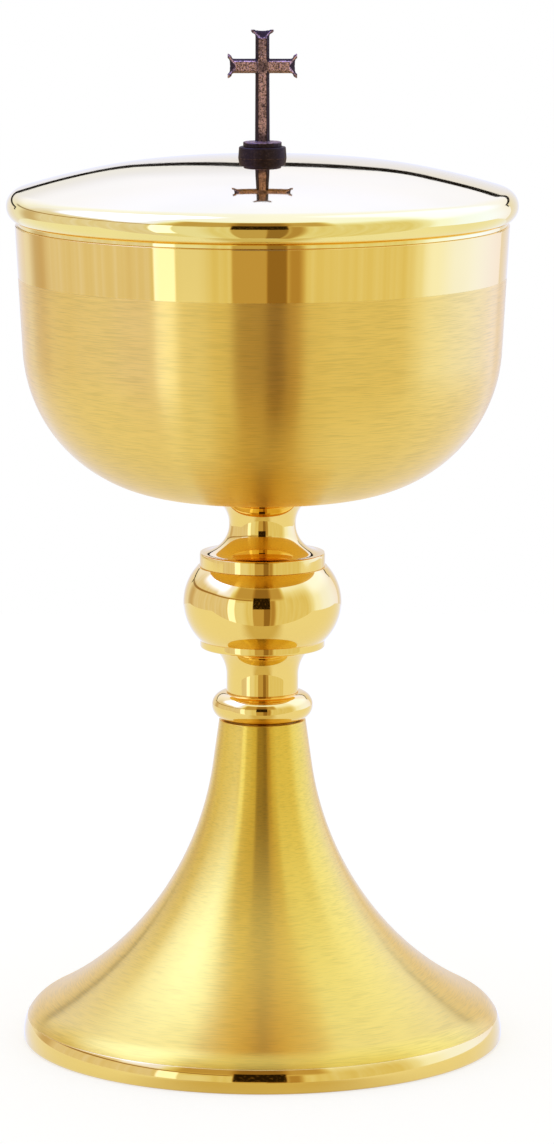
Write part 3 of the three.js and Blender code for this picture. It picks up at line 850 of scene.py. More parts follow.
def lower_neck_outline(stem):
    bottom, plate, spigot_top = low("lower_neck"), low("knop_plate"), high("lower_neck")
    hole, register, socket = rod_hole(), stem.register, stem.register + CLEARANCE
    socket_top = high("stem_ring") + CLEARANCE
    centre = (stem.lower_neck + stem.lower_cove, bottom + stem.lower_straight)
    end = math.asin((plate - centre[1]) / stem.lower_cove)
    side = line((stem.lower_neck, bottom), (stem.lower_neck, centre[1]), 8)
    cove = arc(centre, stem.lower_cove, math.pi, math.pi - end, 32)
    return outline(
        [(hole, spigot_top), (hole, socket_top), (socket, socket_top), (socket, bottom)],
        line((socket, bottom), side[0], 2), 0.12 * MM, side + cove[1:], 0.08 * MM,
        line(cove[-1], (register, plate), 2),
        [(register, plate), (register, spigot_top), (hole, spigot_top)],
    )


def knop_plate_outline(stem):
    bottom, top, radius = low("knop_plate"), high("knop_plate"), radius_of("knop_plate")
    socket = stem.register + CLEARANCE
    centre = (radius - stem.flange_edge, bottom + stem.flange_edge)
    edge = arc(centre, stem.flange_edge, -math.pi / 2, 0.0, 12)
    side = line((socket, bottom), edge[0], 5) + edge[1:] + line(edge[-1], (radius, top), 4)[1:]
    return outline([(socket, top), (socket, bottom)], side, 0.12 * MM,
                   line((radius, top), (socket, top), 5))


def knop_outline(stem):
    bottom, top = low("knop"), high("knop")
    end = 2.0 * MM
    socket = stem.register + CLEARANCE
    centre = (radius_of("knop") - stem.knop_bulge, bottom + stem.knop_belly)

    def side(radius, start, finish, steps):
        turns = [math.asin((height - centre[1]) / radius) for height in (start, finish)]
        return arc(centre, radius, *turns, steps)

    outer = side(stem.knop_bulge, bottom, top, 80)
    inner = side(stem.knop_bulge - stem.knop_wall, bottom + end, top - end, 16)
    return outline(
        [(socket, top - end), (socket, top)], line((socket, top), outer[-1], 4), outer[::-1],
        line(outer[0], (socket, bottom), 4), [(socket, bottom), (socket, bottom + end)],
        line((socket, bottom + end), inner[0], 2), inner, line(inner[-1], (socket, top - end), 2),
    )


def upper_neck_outline(stem):
    spigot, flange, seat = low("upper_neck"), high("knop"), high("upper_neck")
    hole, register, radius = rod_hole(), stem.register, radius_of("upper_neck")
    cove_bottom = flange + stem.upper_flange
    centre = (stem.upper_waist + stem.upper_cove, cove_bottom + stem.upper_cove)
    end = math.asin((seat - stem.upper_lip - centre[1]) / stem.upper_cove)
    cove = arc(centre, stem.upper_cove, -math.pi / 2, -math.pi - end, 64)
    edge_centre = (radius - stem.flange_edge, cove_bottom - stem.flange_edge)
    edge = arc(edge_centre, stem.flange_edge, 0.0, math.pi / 2, 12)
    boss_flange = radius_of("cup_boss") + CLEARANCE
    boss_bore = boss_flange - BOSS_STEP
    ledge = seat - BOSS_FLANGE - CLEARANCE
    floor = low("cup_boss") - CLEARANCE
    return outline(
        [(hole, floor), (hole, spigot), (register, spigot), (register, flange)],
        line((register, flange), (radius, flange), 5), 0.12 * MM,
        line((radius, flange), edge[0], 6) + edge[1:] + line(edge[-1], cove[0], 2)[1:] + cove[1:],
        0.1 * MM, [cove[-1], (stem.upper_top, seat)], line((stem.upper_top, seat), (boss_flange, seat), 2),
        [(boss_flange, seat), (boss_flange, ledge), (boss_bore, ledge), (boss_bore, floor), (hole, floor)],
    )


STEM_PIECES = (
    ("stem_bead", "stem_ring", bead_outline),
    ("lower_neck_turned", "lower_neck", lower_neck_outline),
    ("knop_plate_turned", "knop_plate", knop_plate_outline),
    ("knop_turned", "knop", knop_outline),
    ("upper_neck_turned", "upper_neck", upper_neck_outline),
)


class CUP_OT_stem(bpy.types.Operator):
    """Add the bead, the necks, the knop plate and the knop"""
    bl_idname = "cup.add_stem"
    bl_label = "Stem"

    def execute(self, context):
        sides = context.scene.cup_facets.stem
        for name, node, make_outline in STEM_PIECES:
            add_turned(name, node, "polished", sides, make_outline(context.scene.cup_stem))
        return {"FINISHED"}


# Bowl

def bowl_corner(bowl, seat, mouth, mouth_radius, seat_radius):
    """The corner's centre, found so that the crowned bottom passes through the edge of the seat."""
    lowest, highest = seat, mouth
    for _ in range(50):
        height = (lowest + highest) / 2
        wall = mouth_radius - (mouth - height) * math.tan(bowl.taper)
        radius = wall - bowl.corner_radius / math.cos(bowl.taper)
        crown = bowl.corner_radius + radius / math.sin(bowl.bottom_slope)
        crown_centre = height + (crown - bowl.corner_radius) * math.cos(bowl.bottom_slope)
        if crown_centre - reach(crown, seat_radius) > seat:
            highest = height
        else:
            lowest = height
    return (radius, height), crown, crown_centre


def bowl_side(bowl, found, mouth, mouth_radius, inset, start_radius):
    """The bowl's surface from the seat's edge, or from the axis, up to the mouth."""
    corner, crown, crown_centre = found
    start = -math.acos(start_radius / (crown - inset))
    bottom = bowl.bottom_slope - math.pi / 2
    crowned = arc((0.0, crown_centre), crown - inset, start, bottom, 24)
    rounded = arc(corner, bowl.corner_radius - inset, bottom, -bowl.taper, 70)
    end = (mouth_radius - inset / math.cos(bowl.taper), mouth)
    return crowned + rounded[1:] + line(rounded[-1], end, 16)[1:]


class CUP_OT_bowl(bpy.types.Operator):
    """Add the spun bowl and the boss under it"""
    bl_idname = "cup.add_bowl"
    bl_label = "Bowl"

    def execute(self, context):
        bowl, facets = context.scene.cup_bowl, context.scene.cup_facets
        seat, mouth, mouth_radius = low("cup"), high("cup"), radius_of("cup")
        seat_radius = context.scene.cup_stem.upper_top + bowl.seat_margin
        found = bowl_corner(bowl, seat, mouth, mouth_radius, seat_radius)
        outer = bowl_side(bowl, found, mouth, mouth_radius, 0.0, seat_radius)
        inner = bowl_side(bowl, found, mouth, mouth_radius, bowl.sheet, 0.0)
        points = outline(
            line((0.0, seat), outer[0], 4), outer, 0.3 * MM,
            line(outer[-1], inner[-1], 2), 0.3 * MM, inner[::-1],
        )
        add_turned("spun_bowl", "cup", "bowl", facets.wide, points, len(points) - len(inner))
        self.add_boss(facets.small)
        return {"FINISHED"}

    def add_boss(self, sides):
        bottom, top, hole = low("cup_boss"), high("cup_boss"), rod_hole()
        wide = radius_of("cup_boss")
        narrow, flange, roof = wide - BOSS_STEP, top - BOSS_FLANGE, top - 2.0 * MM
        add_turned("boss_turned", "cup_boss", "polished", sides, outline(
            [(0.0, roof), (hole, roof), (hole, bottom)], line((hole, bottom), (narrow, bottom), 2),
            0.3 * MM, line((narrow, bottom), (narrow, flange), 3),
            line((narrow, flange), (wide, flange), 2), 0.2 * MM, line((wide, flange), (wide, top), 2),
            0.2 * MM, line((wide, top), (0.0, top), 3),
        ))


# Lid

def lid_arcs(lid, nose):
    """The dome's arcs from the middle outwards, each as its centre, radius and slope at its end."""
    radii = (lid.crown, lid.bend, lid.flank, lid.shoulder)
    slopes = (lid.crown_slope, lid.bend_slope, lid.flank_slope)
    steps = [radius - following for radius, following in zip(radii, radii[1:])]
    run = nose[0] - sum(step * math.sin(slope) for step, slope in zip(steps, slopes))
    steps.append(lid.shoulder - lid.nose)
    slopes += (math.asin(run / steps[-1]),)
    centre = nose
    arcs = []
    for radius, step, slope in reversed(tuple(zip(radii, steps, slopes))):
        centre = (centre[0] - step * math.sin(slope), centre[1] - step * math.cos(slope))
        arcs.append((centre, radius, slope))
    return arcs[::-1]


def eased(points, rounds):
    """The same run of points with its bends eased into each other, its ends kept."""
    for _ in range(rounds):
        middles = [(0.25 * a[0] + 0.5 * b[0] + 0.25 * c[0], 0.25 * a[1] + 0.5 * b[1] + 0.25 * c[1])
                   for a, b, c in zip(points, points[1:], points[2:])]
        points = [points[0], *middles, points[-1]]
    return points


class CUP_OT_lid(bpy.types.Operator):
    """Add the spun lid and its locating ring"""
    bl_idname = "cup.add_lid"
    bl_label = "Lid"

    def execute(self, context):
        lid = context.scene.cup_lid
        sides = context.scene.cup_facets.wide
        nose = (radius_of("lid_dome") - lid.nose, low("lid_dome") + lid.nose_height)
        arcs = lid_arcs(lid, nose)
        self.add_dome(lid, nose, arcs, sides)
        self.add_ring(lid, arcs[-1][0], sides)
        return {"FINISHED"}

    def dome_side(self, lid, nose, arcs, seat_radius, inset):
        """The dome's outer or inner side, its bends eased as far as spinning eases them."""
        spacing, nose_steps = (1.8 * MM, 20) if inset else (0.6 * MM, 60)
        easing = 3.9 * MM
        start = math.acos(seat_radius / (lid.crown - inset))
        points = []
        for centre, radius, slope in arcs:
            end = math.pi / 2 - slope
            steps = max(round(radius * (start - end) / spacing), 2)
            points += arc(centre, radius - inset, start, end, steps)[bool(points):]
            start = end
        round_nose = arc(nose, lid.nose - inset, start, -lid.lip_slope, nose_steps)
        return eased(points, round(2 * (easing / spacing) ** 2)) + round_nose[1:]

    def add_dome(self, lid, nose, arcs, sides):
        mouth = low("lid_dome")
        seat_radius = radius_of("finial_collar") + CLEARANCE
        outer, inner = (self.dome_side(lid, nose, arcs, seat_radius, inset) for inset in (0.0, lid.sheet))
        seat, lip = outer[0][1], outer[-1][0]
        under, inner_lip = seat - lid.sheet, lip - lid.sheet
        inner = [(seat_radius, under), *inner[1:-1], (inner_lip, inner[-1][1])]
        add_turned("spun_lid", "lid_dome", "lid", sides, outline(
            [(LID_HOLE, under), (LID_HOLE, seat)], line((LID_HOLE, seat), (seat_radius, seat), 2),
            outer, line(outer[-1], (lip, mouth), 2), 0.12 * MM,
            line((lip, mouth), (inner_lip, mouth), 2), 0.12 * MM,
            line((inner_lip, mouth), inner[-1], 2), inner[::-1],
            line(inner[0], (LID_HOLE, under), 2),
        ))

    def add_ring(self, lid, shoulder, sides):
        bottom, radius = low("lid_locating_ring"), radius_of("lid_locating_ring")
        inside = radius - 1.0 * MM
        tops = [(at, shoulder[1] + reach(lid.shoulder - lid.sheet, at - shoulder[0]) - CLEARANCE)
                for at in (radius, inside)]
        add_turned("locating_ring", "lid_locating_ring", "polished", sides, outline(
            line(tops[1], (inside, bottom), 3), 0.25 * MM, line((inside, bottom), (radius, bottom), 2),
            0.25 * MM, line((radius, bottom), tops[0], 3), 0.15 * MM, line(*tops, 2),
        ))


# Finial

def smoothstep(value, start, end):
    t = min(max((value - start) / (end - start), 0.0), 1.0)
    return t * t * (3 - 2 * t)


def arms_height():
    """Height of the middle of the cross's arms."""
    return high("finial_collar") + CROSS_FOOT + CROSS_ARMS


class CUP_OT_finial(bpy.types.Operator):
    """Add the cast cross and the turned collar under it"""
    bl_idname = "cup.add_finial"
    bl_label = "Finial"

    def execute(self, context):
        self.add_collar(context.scene.cup_facets.small * 2)
        self.add_cross()
        return {"FINISHED"}

    def add_collar(self, sides):
        bottom, top = low("finial_collar"), high("finial_collar")
        radius = radius_of("finial_collar")
        top_radius = radius - 0.2 * MM
        made = turned("collar_turned", outline(
            [(LID_HOLE, top), (LID_HOLE, bottom)], line((LID_HOLE, bottom), (radius, bottom), 3),
            0.06 * MM, line((radius, bottom), (top_radius, top), 8), 0.3 * MM,
            line((top_radius, top), (LID_HOLE, top), 5),
        ), sides, "bronze")
        mark_wear(made, edge_low=0.25, edge_high=0.8)
        keep(made, "finial_collar")

    def add_cross(self):
        """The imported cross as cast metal: softened, with a shank that is the core of its thread."""
        shape = bmesh.new()
        shape.from_mesh(frame["nodes"]["finial_cross"].data)
        bmesh.ops.remove_doubles(shape, verts=shape.verts, dist=WELD)
        core = 0.86
        for vertex in shape.verts:
            if vertex.co.z < low("finial_collar"):
                vertex.co.x *= core
                vertex.co.y *= core
        mesh = bpy.data.meshes.new("cast_cross")
        shape.to_mesh(mesh)
        shape.free()
        made = new_object("cast_cross", mesh)
        remesh = made.modifiers.new("cast", "REMESH")
        remesh.mode = "VOXEL"
        remesh.voxel_size = 0.1 * MM
        soften = made.modifiers.new("soften", "SMOOTH")
        soften.factor = 0.5
        soften.iterations = 4
        plain_mesh(made)
        blunt_tips(made)
        made.data.materials.clear()
        made.data.materials.append(finish_named("bronze"))
        tidy_faces(made, math.radians(80))
        mark_wear(made, edge_low=0.12, edge_high=0.5)
        keep(made, "finial_cross")


def blunt_tips(made):
    """Fills out the fine tips of the flared ends, as casting leaves them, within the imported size.

    Widths and distances are in millimetres here, from the middle of the arms.
    """
    lowest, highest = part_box("finial_cross")
    middle = arms_height()
    fullness, head_lift = 0.42 * MM, 0.3 * MM
    mesh = made.data
    normals = [Vector(normal.vector) for normal in mesh.vertex_normals]
    for vertex, normal in zip(mesh.vertices, normals):
        place = vertex.co
        x, up = abs(place.x) / MM, (place.z - middle) / MM
        below_head = (highest.z - place.z) / MM
        across = x if up > x else abs(up)
        from_end = min((highest.x / MM) - x, below_head)
        amount = smoothstep(across, 1.5, 2.2) * smoothstep(from_end, 1.4, 0.6)
        if amount > 0 and up > -4:
            moved = place + normal * amount * fullness
            for axis in range(3):
                moved[axis] = min(max(moved[axis], lowest[axis]), highest[axis])
            vertex.co = moved
            x, below_head = abs(moved.x) / MM, (highest.z - moved.z) / MM
        lift = head_lift * smoothstep(x, 2.0, 1.2) * smoothstep(below_head, 1.7, 0.9)
        vertex.co.z = min(vertex.co.z + lift, highest.z)


def edge_bends(mesh, points, normals):
    """How sharply the surface bends outwards at each point, from its neighbours."""
    total = [0.0] * len(points)
    neighbours = [0] * len(points)
    for edge in mesh.edges:
        first, second = edge.vertices
        step = points[second] - points[first]
        span = max(step.length, 1e-9)
        total[first] -= step.dot(normals[first]) / span
        total[second] += step.dot(normals[second]) / span
        neighbours[first] += 1
        neighbours[second] += 1
    return [sum_of / max(number, 1) for sum_of, number in zip(total, neighbours)]


def mark_wear(made, edge_low, edge_high):
    """Stores where the casting stands proud, less where painted shade darkens it, where its edges are and
    where its ends are hollowed.

    Widths and distances are in millimetres here, from the middle of the arms.
    """
    mesh = made.data
    points = [vertex.co.copy() for vertex in mesh.vertices]
    normals = [Vector(normal.vector) for normal in mesh.vertex_normals]
    hollow_length = 2.25
    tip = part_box("finial_cross")[1]
    middle = arms_height()
    values = {"edge": [], "high": [], "hollow": []}
    for place, normal, bend in zip(points, normals, edge_bends(mesh, points, normals)):
        x, y, up = abs(place.x) / MM, abs(place.y) / MM, (place.z - middle) / MM
        above_disc = up + CROSS_ARMS / MM
        # Raised faces, front and back, which on the shaft end where its bevels begin
        face = smoothstep(abs(normal.y), 0.86, 0.97) * smoothstep(y, 1.0, 1.22)
        if abs(up) > 1.6:
            face *= smoothstep(x, 1.0, 0.86)
        # Undersides, less rubbed
        sloped = smoothstep(-normal.z, 0.3, 0.55) * 0.6
        # Painted shade: the rubbed faces are darker in the crossing and at the shaft's foot, and a little
        # darker towards its head
        painted_shade = 1 - 0.7 * smoothstep(math.hypot(x, up), 2.4, 0.8)
        painted_shade *= 1 - 0.8 * smoothstep(above_disc, 4.0, 1.0)
        painted_shade *= 1 - 0.35 * smoothstep(up, 1.8, 3.5)
        # Hollowed ends, each with a rubbed rim and a rubbed face before it
        past_end, across = (place.z - tip.z) / MM, x
        if up <= x:
            past_end, across = x - tip.x / MM, abs(up)
        within = past_end + hollow_length - across * 0.85 if above_disc > 5 else -1000.0
        cupped = smoothstep(within, -0.05, 0.1)
        rim = smoothstep(abs(within), 0.36, 0.12)
        end_face = smoothstep(within, -0.9, -0.5) * (across < 1.1)
        arm_top = smoothstep(y, 0.95, 1.05) * (x > 1.7) * (normal.z > 0)
        proud = max(face, sloped, end_face, arm_top)
        # Edges, but for the bevels of the shaft
        worn_edge = smoothstep(bend, edge_low, edge_high)
        if abs(up) > 1.6 and past_end < -hollow_length and above_disc > 1:
            worn_edge *= smoothstep(x, 1.05, 0.9)
        # The disc's top is evenly rubbed, with no painted shade
        if abs(above_disc) < 0.3 and normal.z > 0.5:
            proud, painted_shade = 0.55, 1.0
        values["edge"].append(max(worn_edge, rim))
        values["high"].append(proud * painted_shade * (1 - cupped) if above_disc > -0.3 else sloped)
        values["hollow"].append(cupped)
    for name, numbers in values.items():
        mesh.attributes.new(name, "FLOAT", "POINT").data.foreach_set("value", numbers)


# Fasteners

def nut_mesh(name, bore, across, bottom, top):
    """A hexagonal nut with chamfered corners and a countersunk hole."""
    steps = 96
    countersink = 0.35 * MM
    chamfer = across / 2 * 0.96
    slope = math.tan(math.radians(30))
    sixth = math.tau / 6
    places = []
    for step in range(steps):
        turn = math.tau * step / steps
        flat = across / 2 / math.cos(turn % sixth - sixth / 2)
        drop = max(0.0, flat - chamfer) * slope
        section = [
            (bore, top - countersink), (bore, bottom + countersink), (bore + countersink, bottom),
            (chamfer, bottom), (flat, bottom + drop), (flat, top - drop), (chamfer, top),
            (bore + countersink, top),
        ]
        places += [(radius * math.cos(turn), radius * math.sin(turn), height) for radius, height in section]
    size = len(section)
    faces = []
    for step in range(steps):
        here, after = step * size, (step + 1) % steps * size
        for corner in range(size):
            following = (corner + 1) % size
            faces.append((here + corner, after + corner, after + following, here + following))
    mesh = bpy.data.meshes.new(name)
    mesh.from_pydata(places, [], faces)
    return mesh


def shaped_steel(name, tree_name, inputs):
    """A steel piece that is wholly made by a geometry tree."""
    made = new_object(name, bpy.data.meshes.new(name))
    shape_by(tree_name, made, {**inputs, "Finish": finish_named("steel")})
    tidy_faces(made)
    return made


class CUP_OT_fasteners(bpy.types.Operator):
    """Add the tie rod, the washers and the nuts"""
    bl_idname = "cup.add_fasteners"
    bl_label = "Fasteners"

    def execute(self, context):
        fasteners = context.scene.cup_fasteners
        small = context.scene.cup_facets.small
        self.add_rod(fasteners, small)
        self.add_shank_thread(fasteners)
        for name, hole in (("foot", 3.2 * MM), ("lid", 2.2 * MM)):
            self.add_washer(name, hole, small)
            self.add_spring_washer(name, hole, fasteners)
            self.add_nut(name, hole)
        return {"FINISHED"}

    def add_rod(self, fasteners, small):
        bottom, top, radius = low("tie_rod"), high("tie_rod"), radius_of("tie_rod")
        core = radius - fasteners.thread_depth
        chamfer = 0.5 * MM
        add_turned("tie_rod_core", "tie_rod", "steel", small, outline(
            [(0.0, bottom), (core - chamfer, bottom), (core, bottom + chamfer)],
            line((core, bottom + chamfer), (core, top - chamfer), 30),
            [(core, top - chamfer), (core - chamfer, top), (0.0, top)],
        ))
        thread = shaped_steel("tie_rod_thread", "thread", {
            "Radius": radius,
            "Depth": fasteners.thread_depth,
            "Pitch": fasteners.rod_pitch,
            "Bottom": bottom + fasteners.rod_pitch / 2,
            "Height": 22 * MM,
        })
        keep(thread, "tie_rod")

    def add_shank_thread(self, fasteners):
        thread = shaped_steel("shank_thread", "thread", {
            "Radius": 2.0 * MM,
            "Depth": 0.32 * MM,
            "Pitch": fasteners.shank_pitch,
            "Bottom": low("finial_cross") + fasteners.shank_pitch / 2,
            "Height": 6 * MM,
        })
        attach(thread, "lid")

    def add_washer(self, name, hole, small):
        node = name + "_washer"
        bottom, top, radius = low(node), high(node), radius_of(node)
        add_turned(name + "_flat_washer", node, "steel", small, outline(
            [(hole, top), (hole, bottom)], 0.1 * MM, line((hole, bottom), (radius, bottom), 3),
            0.2 * MM, line((radius, bottom), (radius, top), 2), 0.2 * MM,
            line((radius, top), (hole, top), 3),
        ))

    def add_spring_washer(self, name, hole, fasteners):
        node = name + "_lock_washer"
        made = shaped_steel(name + "_spring_washer", "split washer", {
            "Hole": hole,
            "Radius": -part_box(node)[0].x,
            "Bottom": low(node),
            "Thickness": high(node) - low(node),
            "Slit": fasteners.spring_slit,
        })
        keep(made, node)

    def add_nut(self, name, hole):
        node = name + "_nut"
        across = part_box(node)[1].y * 2
        mesh = nut_mesh(name + "_hex_nut", hole - 0.15 * MM, across, low(node), high(node))
        mesh.materials.append(finish_named("steel"))
        made = new_object(name + "_hex_nut", mesh)
        tidy_faces(made)
        keep(made, node)


# Stage

# What the polish mirrors. Bearings are degrees from the camera's side, to the right, and rises
# are degrees above the horizon. A patch is its bearings, their blur, its rises and their blur.
LIGHT_STRIP = (-52.0, -41.0, 0.7, -30.0, 20.0, 1.5)
WINDOW = (-14.0, 11.5, 0.5, 1.5, 25.5, 0.5)

# These patches have names and levels, and each lies over the ones before it
LOWER_PATCHES = (
    ("bright side behind on the right", (78.0, 200.0, 10.0, -90.0, 90.0, 1.0), 1.0),
    ("bright side behind on the left", (-200.0, -138.0, 8.0, -90.0, 90.0, 1.0), 0.88),
    ("dim corner on the left", (-137.0, -122.0, 6.0, -90.0, 12.0, 5.0), 0.64),
    ("wall beside the strip", (-42.0, -26.0, 5.0, -90.0, 14.0, 1.5), 0.88),
    ("light strip", LIGHT_STRIP, 0.97),
    ("gap right of the window", (11.5, 19.0, 2.5, -90.0, 20.0, 2.0), 0.48),
    ("under the window on the left", (-14.0, 2.0, 0.8, -60.0, 2.0, 0.6), 0.57),
    ("under the window on the right", (2.0, 11.5, 0.8, -60.0, 2.0, 0.6), 0.31),
)
UPPER_PATCHES = (
    ("dim wall above the window", (-44.0, 32.0, 5.0, 21.0, 47.0, 4.0), 0.56),
    ("dark wall right above it", (-14.0, 11.5, 4.0, 23.0, 46.0, 4.0), 0.3),
)

# The colour of each level, from dark brown through yellow to the bluish white of the lamps
STUDIO_TONES = (
    (0.00, (0.0, 0.0, 0.0)),
    (0.20, (0.20, 0.12, 0.05)),
    (0.45, (0.45, 0.31, 0.14)),
    (0.65, (0.65, 0.57, 0.40)),
    (0.80, (0.80, 0.84, 0.82)),
    (0.92, (0.92, 1.10, 1.75)),
    (1.00, (1.03, 1.36, 3.2)),
)

# Tints of the studio. Most of them are rich in blue, because the plating takes most of it away
WHITE = (1.0, 1.0, 1.0)
LEFT_WALL, RIGHT_WALL = (1.0, 1.0, 1.5), (1.0, 1.04, 1.3)
BEHIND_LOW, BEHIND_HIGH = (1.0, 1.08, 1.3), (1.02, 1.21, 2.25)
OVERHEAD = (1.04, 1.33, 3.6)
LEFT_LAMP, RIGHT_LAMP = (1.6, 2.5, 13.0), (1.15, 1.6, 5.0)


def over(under, mask, top):
    """A value with another one laid over it where the mask is 1."""
    return under + mask * (top - under)


def patch_mask(side, rise, bounds):
    left, right, blur, bottom, top, rise_blur = bounds
    return side.between(left, right, blur) * rise.between(bottom, top, rise_blur)


def studio_level(graph, walls, side, rise, backwards):
    """How bright the studio is in each direction."""
    folds = graph.noise(graph.combined(side * 0.24, rise * 0.012), 1.0, 4.0)
    level = walls - 0.09 + folds * 0.18
    for _, bounds, brightness in LOWER_PATCHES:
        level = over(level, patch_mask(side, rise, bounds), brightness)
    level = over(level, rise.ramp(16.0, 46.0), 1.0)
    # A dark line over the walls on the left, which sinks towards the back, and pale wall above it
    sinking = rise + side.ramp(-76.0, -150.0) * 9.0
    level = over(level, side.between(-150.0, -15.0, 3.0) * sinking.between(18.5, 21.0, 0.6), 0.35)
    level = over(level, side.between(-76.0, -50.0, 3.0) * sinking.ramp(19.0, 25.0), 0.98)
    level = over(level, backwards * rise.ramp(12.0, 20.0), 1.0)
    for _, bounds, brightness in UPPER_PATCHES:
        level = over(level, patch_mask(side, rise, bounds), brightness)
    glints = graph.noise(graph.combined(side * 0.5, rise * 0.12)).ramp(0.5, 0.8)
    return over(level, patch_mask(side, rise, WINDOW), glints * 0.16 + 0.02)


def studio_colour(graph, level, side, rise, backwards):
    """The colour of each level, cooler at the sides and behind, and the two lamps' own colours."""
    tones = graph.add("ShaderNodeValToRGB", {"stops": STUDIO_TONES}, {0: level})
    left, right = side.between(-140.0, -52.0, 4.0), side.between(96.0, 170.0, 8.0)
    tones = tones.vector("MULTIPLY", graph.mix(left, WHITE, LEFT_WALL))
    tones = tones.vector("MULTIPLY", graph.mix(right, WHITE, RIGHT_WALL))
    behind = graph.mix(rise.ramp(6.0, 22.0), BEHIND_LOW, BEHIND_HIGH)
    tint = graph.mix(backwards, tones, graph.scaled(behind, level))
    overhead = rise.ramp(50.0, 68.0).math("MAXIMUM", backwards * rise.ramp(18.0, 38.0))
    tint = graph.mix(overhead, tint, graph.scaled(OVERHEAD, level))
    left_lamp = side.between(-120.0, -63.0, 7.0) * rise.ramp(22.0, 42.0) * rise.ramp(84.0, 70.0)
    right_lamp = side.between(86.0, 140.0, 10.0) * rise.ramp(12.0, 30.0) * rise.ramp(84.0, 70.0)
    tint = graph.mix(left_lamp, tint, LEFT_LAMP)
    return graph.mix(right_lamp, tint, RIGHT_LAMP)


def studio_light(stage):
    """The surroundings: white to the camera, even on what is dull, and a plain studio in the polish."""
    world = bpy.data.worlds.new("studio")
    bpy.context.scene.world = world
    world.cycles.sampling_method = "NONE"
    world.use_nodes = True
    world.node_tree.nodes.clear()
    graph = Graph(world.node_tree)
    x, y, z = graph.parts(graph.add("ShaderNodeTexCoord", None, None, "Generated"))
    degrees = 180 / math.pi
    side = x.math("ARCTAN2", y * -1.0) * degrees
    rise = z.math("ARCSINE") * degrees
    backwards = side.math("ABSOLUTE").ramp(115.0, 162.0)
    level = studio_level(graph, stage.walls, side, rise, backwards)
    tint = studio_colour(graph, level, side, rise, backwards)
    brightness = 1.0 + patch_mask(side, rise, LIGHT_STRIP) * 0.3
    diffuse = graph.add("ShaderNodeLightPath", None, None, "Is Diffuse Ray")
    mirrored = graph.light("Background", tint, brightness * stage.studio)
    unseen = graph.mix_shader(diffuse, mirrored, graph.light("Background", WHITE, stage.even))
    seen = diffuse.other_output("Is Camera Ray")
    surface = graph.mix_shader(seen, unseen, graph.light("Background", WHITE))
    graph.add("ShaderNodeOutputWorld", None, {"Surface": surface})


def flat_sheet(name, corners, material):
    mesh = bpy.data.meshes.new(name)
    mesh.from_pydata(corners, [], [tuple(range(len(corners)))])
    mesh.materials.append(material)
    made = new_object(name, mesh)
    return made


def table_material(stage):
    """White sheet: the camera sees it lit up to the background's white, the metal cool and pale.

    Towards the camera the metal sees a painted shade on it, a darker warm grey wedge.
    """
    material, graph = new_material("white sheet")

    def lit(base, glow_colour, brightness=1.0):
        parts = (graph.add("ShaderNodeBsdfDiffuse", None, {"Color": base}),
                 graph.light("Emission", glow_colour, brightness))
        return graph.add("ShaderNodeAddShader", None, dict(enumerate(parts)))

    x, y, _ = graph.parts(graph.place())
    ahead = y * -1.0
    # Painted shade: a darker wedge on the sheet in front of the foot, seen only in reflections
    wedge_of_shade = (x.math("ABSOLUTE") - ahead * 0.5).ramp(0.03, -0.02) * ahead.ramp(0.03, 0.07)
    pale, pale_glow = (0.45, 0.5, 0.6), (0.54, 0.63, 1.0)
    shaded, shaded_glow = (0.36, 0.34, 0.28), (0.38, 0.36, 0.28)
    mirrored = lit(graph.mix(wedge_of_shade, pale, shaded), graph.mix(wedge_of_shade, pale_glow, shaded_glow))
    seen = graph.add("ShaderNodeLightPath", None, None, "Is Camera Ray")
    reflected = seen.other_output("Is Glossy Ray").math("MAXIMUM", seen.other_output("Is Transmission Ray"))
    plain = graph.add("ShaderNodeBsdfDiffuse", None, {"Color": tuple(stage.table)})
    grey, lift = (0.5, 0.5, 0.5), 0.6
    shown = graph.mix_shader(seen, plain, lit(grey, WHITE, lift))
    end_material(graph, graph.mix_shader(reflected, shown, mirrored))
    return material


def panel_material(name, tint):
    material, graph = new_material(name)
    end_material(graph, graph.light("Emission", tint))
    return material


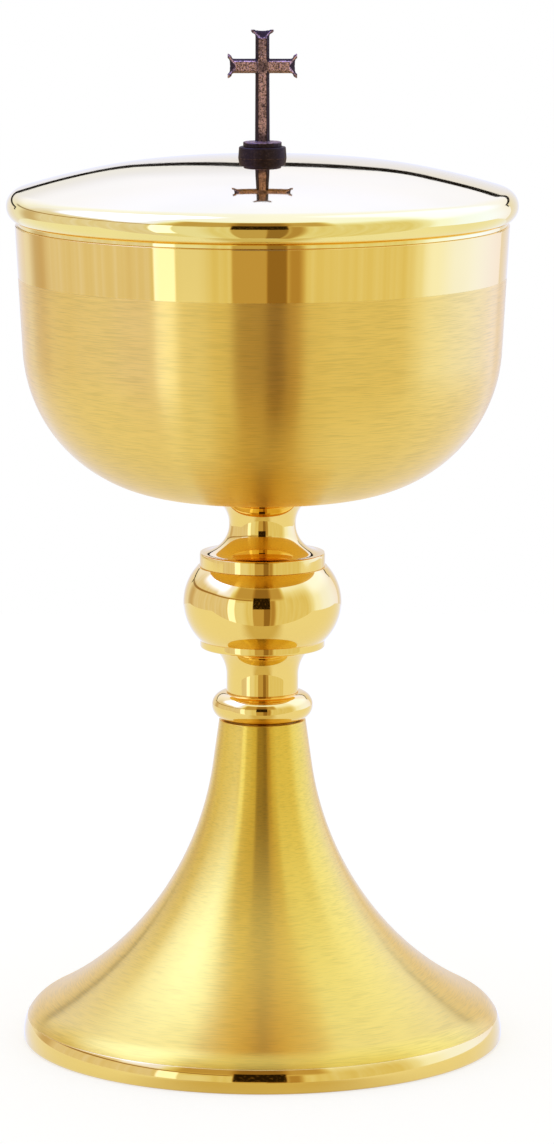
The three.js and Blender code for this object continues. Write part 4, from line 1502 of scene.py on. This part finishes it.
class CUP_OT_stage(bpy.types.Operator):
    """Add the white sheet, the panel behind it, the studio light and the camera"""
    bl_idname = "cup.add_stage"
    bl_label = "Stage"

    def execute(self, context):
        stage = context.scene.cup_stage
        studio_light(stage)
        self.add_table(stage)
        self.add_back_panel()
        self.add_camera(context)
        return {"FINISHED"}

    def add_table(self, stage):
        half, front, back, height = 0.75, -0.168, 0.62, -0.02 * MM
        corners = [(-half, front), (half, front), (half, back), (-half, back)]
        flat_sheet("table_sheet", [(*corner, height) for corner in corners], table_material(stage))

    def add_back_panel(self):
        """A pale sheet behind the cup, hung a little crooked, with a dark hem along its top."""
        half, depth, hem, hem_down = 0.44, 0.6, 0.031, 0.05
        top = [(-half, 0.259), (-0.06, 0.269), (-0.012, 0.321), (0.06, 0.316), (0.1, 0.337), (half, 0.339)]
        above = [(across, height + hem) for across, height in reversed(top)]

        def hem_end(start, corner):
            bottom, over_it = corner[1] - hem_down, corner[1] + hem
            return [(start, bottom), (start + hem, bottom), (start + hem, over_it), (start, over_it)]

        dark = panel_material("dark hem", (0.012, 0.01, 0.01))
        pale = panel_material("back panel", (0.87, 0.92, 1.16))
        for name, corners, material in (
                ("back_panel", [(-half, 0.0), (half, 0.0), *reversed(top)], pale),
                ("hem_top", [*top, *above], dark),
                ("hem_left", hem_end(-half - hem, top[0]), dark),
                ("hem_right", hem_end(half, top[-1]), dark)):
            sheet = flat_sheet(name, [(across, depth, height) for across, height in corners], material)
            sheet.visible_camera = False
            sheet.visible_diffuse = False
            sheet.visible_shadow = False

    def add_camera(self, context):
        """The camera that the photograph's outline and ellipses fit."""
        pixels_long, focal_pixels, axis_offset_pixels = 1144, 5577, 14.6
        sensor, downwards = 36.0, math.radians(9.315)
        camera = bpy.data.cameras.new("camera")
        camera.sensor_width = sensor
        camera.lens = focal_pixels / pixels_long * sensor
        camera.shift_x = axis_offset_pixels / pixels_long
        holder = new_object("camera", camera)
        holder.location = (0.0, -1.3566, 0.33975)
        holder.rotation_euler = (math.pi / 2 - downwards, 0.0, 0.0)
        context.scene.camera = holder
        context.scene.view_settings.view_transform = "Standard"


GROUPS = {
    "cup_foot": FootSizes,
    "cup_stem": StemSizes,
    "cup_bowl": BowlSizes,
    "cup_lid": LidSizes,
    "cup_fasteners": FastenerSizes,
    "cup_finishes": FinishColours,
    "cup_facets": Facets,
    "cup_stage": StageSettings,
}
OPERATORS = (CUP_OT_stage, CUP_OT_foot, CUP_OT_stem, CUP_OT_bowl, CUP_OT_lid, CUP_OT_finial,
             CUP_OT_fasteners)


class CUP_PT_sidebar(bpy.types.Panel):
    """The cup's sizes, finishes and pieces"""
    bl_label = "Lidded Cup"
    bl_idname = "CUP_PT_sidebar"
    bl_space_type = "VIEW_3D"
    bl_region_type = "UI"
    bl_category = "Lidded Cup"

    def draw(self, context):
        for operator in OPERATORS:
            self.layout.operator(operator.bl_idname)
        for key in GROUPS:
            group = getattr(context.scene, key)
            box = self.layout.box()
            for name in group.__annotations__:
                box.prop(group, name)


def register():
    for cls in (*GROUPS.values(), *OPERATORS, CUP_PT_sidebar):
        bpy.utils.register_class(cls)
    for key, cls in GROUPS.items():
        setattr(bpy.types.Scene, key, PointerProperty(type=cls))


def unregister():
    for key in GROUPS:
        delattr(bpy.types.Scene, key)
    for cls in (CUP_PT_sidebar, *reversed(OPERATORS), *reversed(GROUPS.values())):
        bpy.utils.unregister_class(cls)


def main():
    register()
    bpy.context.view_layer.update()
    bpy.ops.cup.add_stage()
    bpy.ops.cup.add_foot()
    bpy.ops.cup.add_stem()
    bpy.ops.cup.add_bowl()
    bpy.ops.cup.add_lid()
    bpy.ops.cup.add_finial()
    bpy.ops.cup.add_fasteners()
    bpy.context.view_layer.update()


if __name__ == "__main__":
    main()
